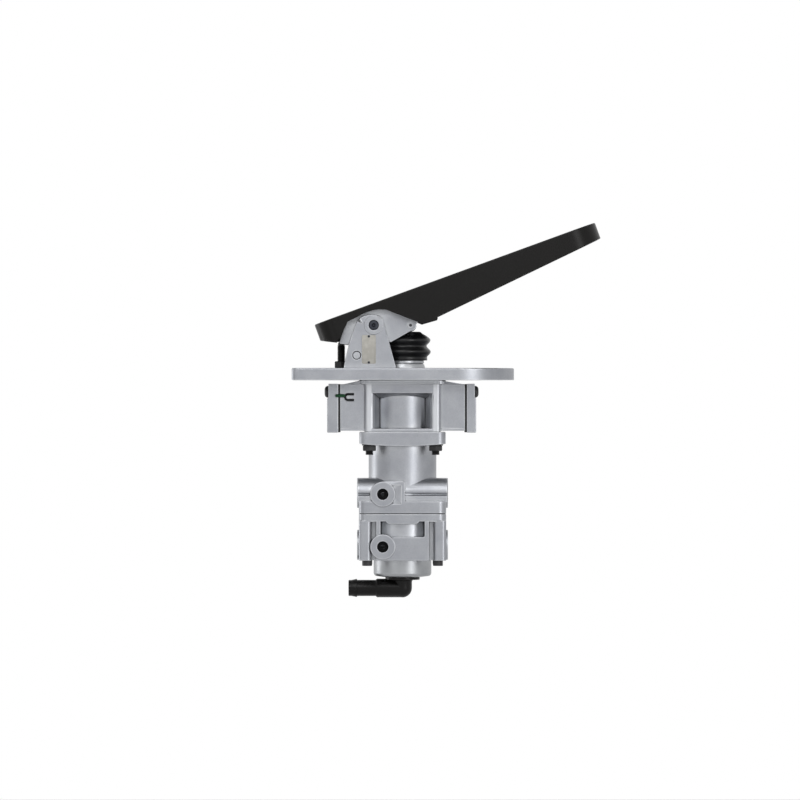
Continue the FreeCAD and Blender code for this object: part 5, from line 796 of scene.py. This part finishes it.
def port_thread(radius, depth, passage, pitch):
    """The threaded wall of a port, built along Z with the port's mouth at the origin."""
    floor = -depth + 0.1
    wall = radius - 0.02
    profile = [(passage, floor), (passage, floor + 0.3), (radius - 0.5, floor + 0.3)]
    height = floor + 1.0
    while height + pitch < -1.0:
        profile += [(radius - 0.08, height), (radius - 0.5, height + pitch * 0.5)]
        height += pitch
    profile += [(radius - 0.08, height), (wall, height), (wall, floor)]
    return spun(profile, 56)


def make_port_threads():
    pitch = 1.5
    wide = []
    for side in (-1, 1):
        for z in (-112.9, -164.9):
            wide.append(facing((side * 45.4, 0, z), (side, 0, 0)))
    near = [facing((-19.7, -46, z), (0, -1, 0)) for z in (-113.8, -166.2)]
    side_rings = copies(port_thread(10.25, 14.0, 4.5, pitch), wide)
    front_rings = copies(port_thread(5.65, 12.0, 2.0, pitch), near)
    rings = merged([side_rings, front_rings])
    finish_piece("port_threads", rings, BORE_SHADE, "base", "cast_aluminium")


# Exhaust elbow and tread pad

def make_exhaust():
    drop, bend = -208.1, 9.5
    outer = [
        (bend * math.cos(step), drop - bend * math.sin(step)) for step in (0, 0.3, 0.6, 0.9, 1.2, 1.4)
    ]
    upright = spun(
        [
            (0, -193.1),
            (11.9, -193.1),
            (11.9, -197.0),
            (17.0, -197.0),
            (17.25, -197.3),
            (17.25, -199.4),
            (16.8, -199.8),
            (11.2, -199.9),
            (9.9, -200.6),
            (bend, -201.8),
        ]
        + outer
        + [(0, drop - bend)],
        64,
    )
    tail = spun(
        [
            (0, 20),
            (5.9, 21),
            (6.0, 53.6),
            (6.3, 54.05),
            (7.5, 54.05),
            (8.0, 53.5),
            (8.05, 50.9),
            (9.1, 46.0),
            (9.0, 45.6),
            (8.1, 45.4),
            (8.05, 27.2),
            (8.3, 26.5),
            (9.0, 26.0),
            (9.15, 25.6),
            (9.15, 0),
            (0, 0),
        ],
        56,
    )
    turn_to(tail, (-1, 0, 0), (0, 0, drop))
    gusset = bmesh.new()
    bmesh.ops.create_cube(gusset, size=1)
    size = Matrix.Diagonal((7.4 * MM, 3.0 * MM, 8.0 * MM, 1))
    middle = Matrix.Translation(Vector((-11.8, 0, -203.5)) * MM)
    bmesh.ops.transform(gusset, matrix=middle @ size, verts=gusset.verts)
    bmesh.ops.bevel(
        gusset, geom=gusset.edges[:], offset=0.5 * MM, affect="EDGES", segments=2, profile=0.5, material=-1
    )
    seam = bmesh.new()
    bmesh.ops.create_cube(seam, size=1)
    size = Matrix.Diagonal((24.0 * MM, 0.5 * MM, 18.7 * MM, 1))
    middle = Matrix.Translation(Vector((-13.6, 0, drop)) * MM)
    bmesh.ops.transform(seam, matrix=middle @ size, verts=seam.verts)
    elbow = merged([upright, tail, gusset, seam])
    finish_piece("exhaust_elbow_moulding", elbow, VENT_PLASTIC, "base", "vent_plastic", "exhaust_elbow")


def make_tread_pad():
    """The rubber mat, in the pedal's own frame: a slab with grooves sunk between its ribs."""
    low, top = 18.44, 20.64
    heel, tip, half, corner = -33.2, 236.4, 41.8, 23.8
    mesh = bmesh.new()
    bmesh.ops.create_grid(mesh, x_segments=1, y_segments=1, size=0.5)
    size = Matrix.Diagonal(((tip - heel) * MM, 2 * half * MM, 1, 1))
    middle = Matrix.Translation(Vector(((heel + tip) / 2, 0, low)) * MM)
    bmesh.ops.transform(mesh, matrix=middle @ size, verts=mesh.verts)
    ends = [vert for vert in mesh.verts if vert.co.x > 0]
    bmesh.ops.bevel(
        mesh, geom=ends, offset=corner * MM, affect="VERTICES", segments=14, profile=0.5, material=-1
    )
    raised = bmesh.ops.extrude_face_region(mesh, geom=mesh.faces[:])["geom"]
    lifted = [item for item in raised if isinstance(item, bmesh.types.BMVert)]
    bmesh.ops.translate(mesh, vec=(0, 0, (top - low) * MM), verts=lifted)
    first, pitch, gap, count, reach = -23.4, 8.0, 2.4, 32, 37.0
    cuts = [((0, side * reach, 0), (0, 1, 0)) for side in (-1, 1)]
    for number in range(count):
        cuts += [((first + number * pitch + edge, 0, 0), (1, 0, 0)) for edge in (0, gap)]
    for spot, across in cuts:
        bmesh.ops.bisect_plane(
            mesh,
            geom=mesh.verts[:] + mesh.edges[:] + mesh.faces[:],
            plane_co=Vector(spot) * MM,
            plane_no=across,
        )
    sunk = []
    for face in mesh.faces:
        place = face.calc_center_median() / MM
        along = place.x - first
        on_ribs = place.z > top - 0.1 and abs(place.y) < reach and 0 < along < count * pitch
        if on_ribs and along % pitch < gap:
            sunk.append(face)
    bmesh.ops.inset_individual(mesh, faces=sunk, thickness=0.45 * MM, depth=-1.0 * MM)
    bmesh.ops.recalc_face_normals(mesh, faces=mesh.faces)
    on_pedal(mesh)
    thing = finish_piece("ribbed_tread_pad", mesh, PAD_RUBBER, "pedal", "pad_rubber", "tread_pad")
    rounding = thing.modifiers.new("rounding", "BEVEL")
    rounding.width = 0.3 * MM
    rounding.segments = 2
    rounding.limit_method = "ANGLE"
    rounding.angle_limit = CORNER_ANGLE


# Camera, lamps and surroundings

def make_camera():
    data = bpy.data.cameras.new("camera")
    camera = bpy.data.objects.new("camera", data)
    bpy.context.scene.collection.objects.link(camera)
    data.lens = 337.05
    data.sensor_width = 36.0
    data.clip_end = 50.0
    camera.location = (-2.5 * MM, -7.5, -19.9 * MM)
    camera.rotation_euler = (math.pi / 2, 0, 0)
    bpy.context.scene.camera = camera


def lamp(name, at, size, power):
    """A rectangular lamp that points at the origin."""
    data = bpy.data.lights.new(name, "AREA")
    data.shape = "RECTANGLE"
    data.size, data.size_y = size
    data.energy = power
    thing = bpy.data.objects.new(name, data)
    bpy.context.scene.collection.objects.link(thing)
    thing.location = at
    thing.rotation_euler = (-Vector(at)).to_track_quat("-Z", "Y").to_euler()


def make_lamps():
    """Each lamp is given by its bearing from the camera's side, its height angle and its distance."""
    for name, bearing, rise, away, size, power in (
        ("strip_front_right", 36, 3, 1.7, (0.5, 1.3), 9),
        ("strip_front_left", -34, 3, 1.7, (0.5, 1.3), 1.4),
        ("panel_front", -4, 30, 2.0, (0.9, 1.2), 12.5),
        ("panel_overhead", -20, 75, 1.8, (0.9, 0.6), 2.5),
        ("strip_back_left", -112, 3, 1.7, (0.36, 1.3), 7),
    ):
        turn = math.radians(bearing)
        lift = math.radians(rise)
        flat = math.cos(lift)
        spot = Vector((math.sin(turn) * flat, -math.cos(turn) * flat, math.sin(lift)))
        lamp(name, spot * away, size, power)


def make_world():
    """White where the camera, gloss and glass look, and a softer grey that lights the dull surfaces."""
    world = bpy.data.worlds.new("studio")
    bpy.context.scene.world = world
    world.use_nodes = True
    tree = world.node_tree
    tree.nodes.clear()
    path = tree.nodes.new("ShaderNodeLightPath")
    seen = path.outputs["Is Camera Ray"]
    for ray in ("Is Glossy Ray", "Is Transmission Ray"):
        either = tree.nodes.new("ShaderNodeMath")
        either.operation = "MAXIMUM"
        tree.links.new(seen, either.inputs[0])
        tree.links.new(path.outputs[ray], either.inputs[1])
        seen = either.outputs[0]
    soft = tree.nodes.new("ShaderNodeBackground")
    soft.inputs["Strength"].default_value = 0.75
    white = tree.nodes.new("ShaderNodeBackground")
    for shade in (soft, white):
        shade.inputs["Color"].default_value = (1, 1, 1, 1)
    both = tree.nodes.new("ShaderNodeMixShader")
    tree.links.new(seen, both.inputs[0])
    tree.links.new(soft.outputs[0], both.inputs[1])
    tree.links.new(white.outputs[0], both.inputs[2])
    output = tree.nodes.new("ShaderNodeOutputWorld")
    tree.links.new(both.outputs[0], output.inputs["Surface"])


def make_floor():
    mesh = bmesh.new()
    bmesh.ops.create_grid(mesh, x_segments=1, y_segments=1, size=1.5)
    bmesh.ops.translate(mesh, vec=(0, 0, -0.5), verts=mesh.verts)
    data = bpy.data.meshes.new("floor")
    mesh.to_mesh(data)
    mesh.free()
    floor = bpy.data.objects.new("floor", data)
    bpy.context.scene.collection.objects.link(floor)
    paint = Paint("floor_white", Roughness=0.9)
    cloud = paint.noise(400, 2.0)
    paint.colour(paint.mix(cloud.ramp(0.3, 0.7), (0.86, 0.86, 0.86, 1), (0.9, 0.9, 0.9, 1)))
    data.materials.append(paint.material)


dress_nodes()
for part, width in (
    ("left_cover", 0.5),
    ("right_cover", 0.5),
    ("pedal_lever", 0.5),
    ("bottom_cap", 0.4),
    ("plunger_guide", 0.4),
):
    soften(part, width)
soften("pedal_treadle", 0.5, "ABSOLUTE")
ease_casting("plate_casting", "mounting_plate", 0.4)
ease_casting("upper_housing_casting", "upper_housing", 0.5, level_wing_necks, "ABSOLUTE")
ease_casting("upper_body_casting", "valve_upper_body", 0.5)
ease_casting("lower_body_casting", "valve_lower_body", 0.5)
make_boot()
make_inner_springs()
make_flange_bolts()
make_body_screws()
make_cover_screws()
make_lever_screws()
make_stop()
make_pins()
make_type_plate()
make_sealing_tag()
make_port_threads()
make_exhaust()
make_tread_pad()
make_camera()
make_lamps()
make_world()
make_floor()

bpy.context.scene.view_settings.view_transform = "Standard"
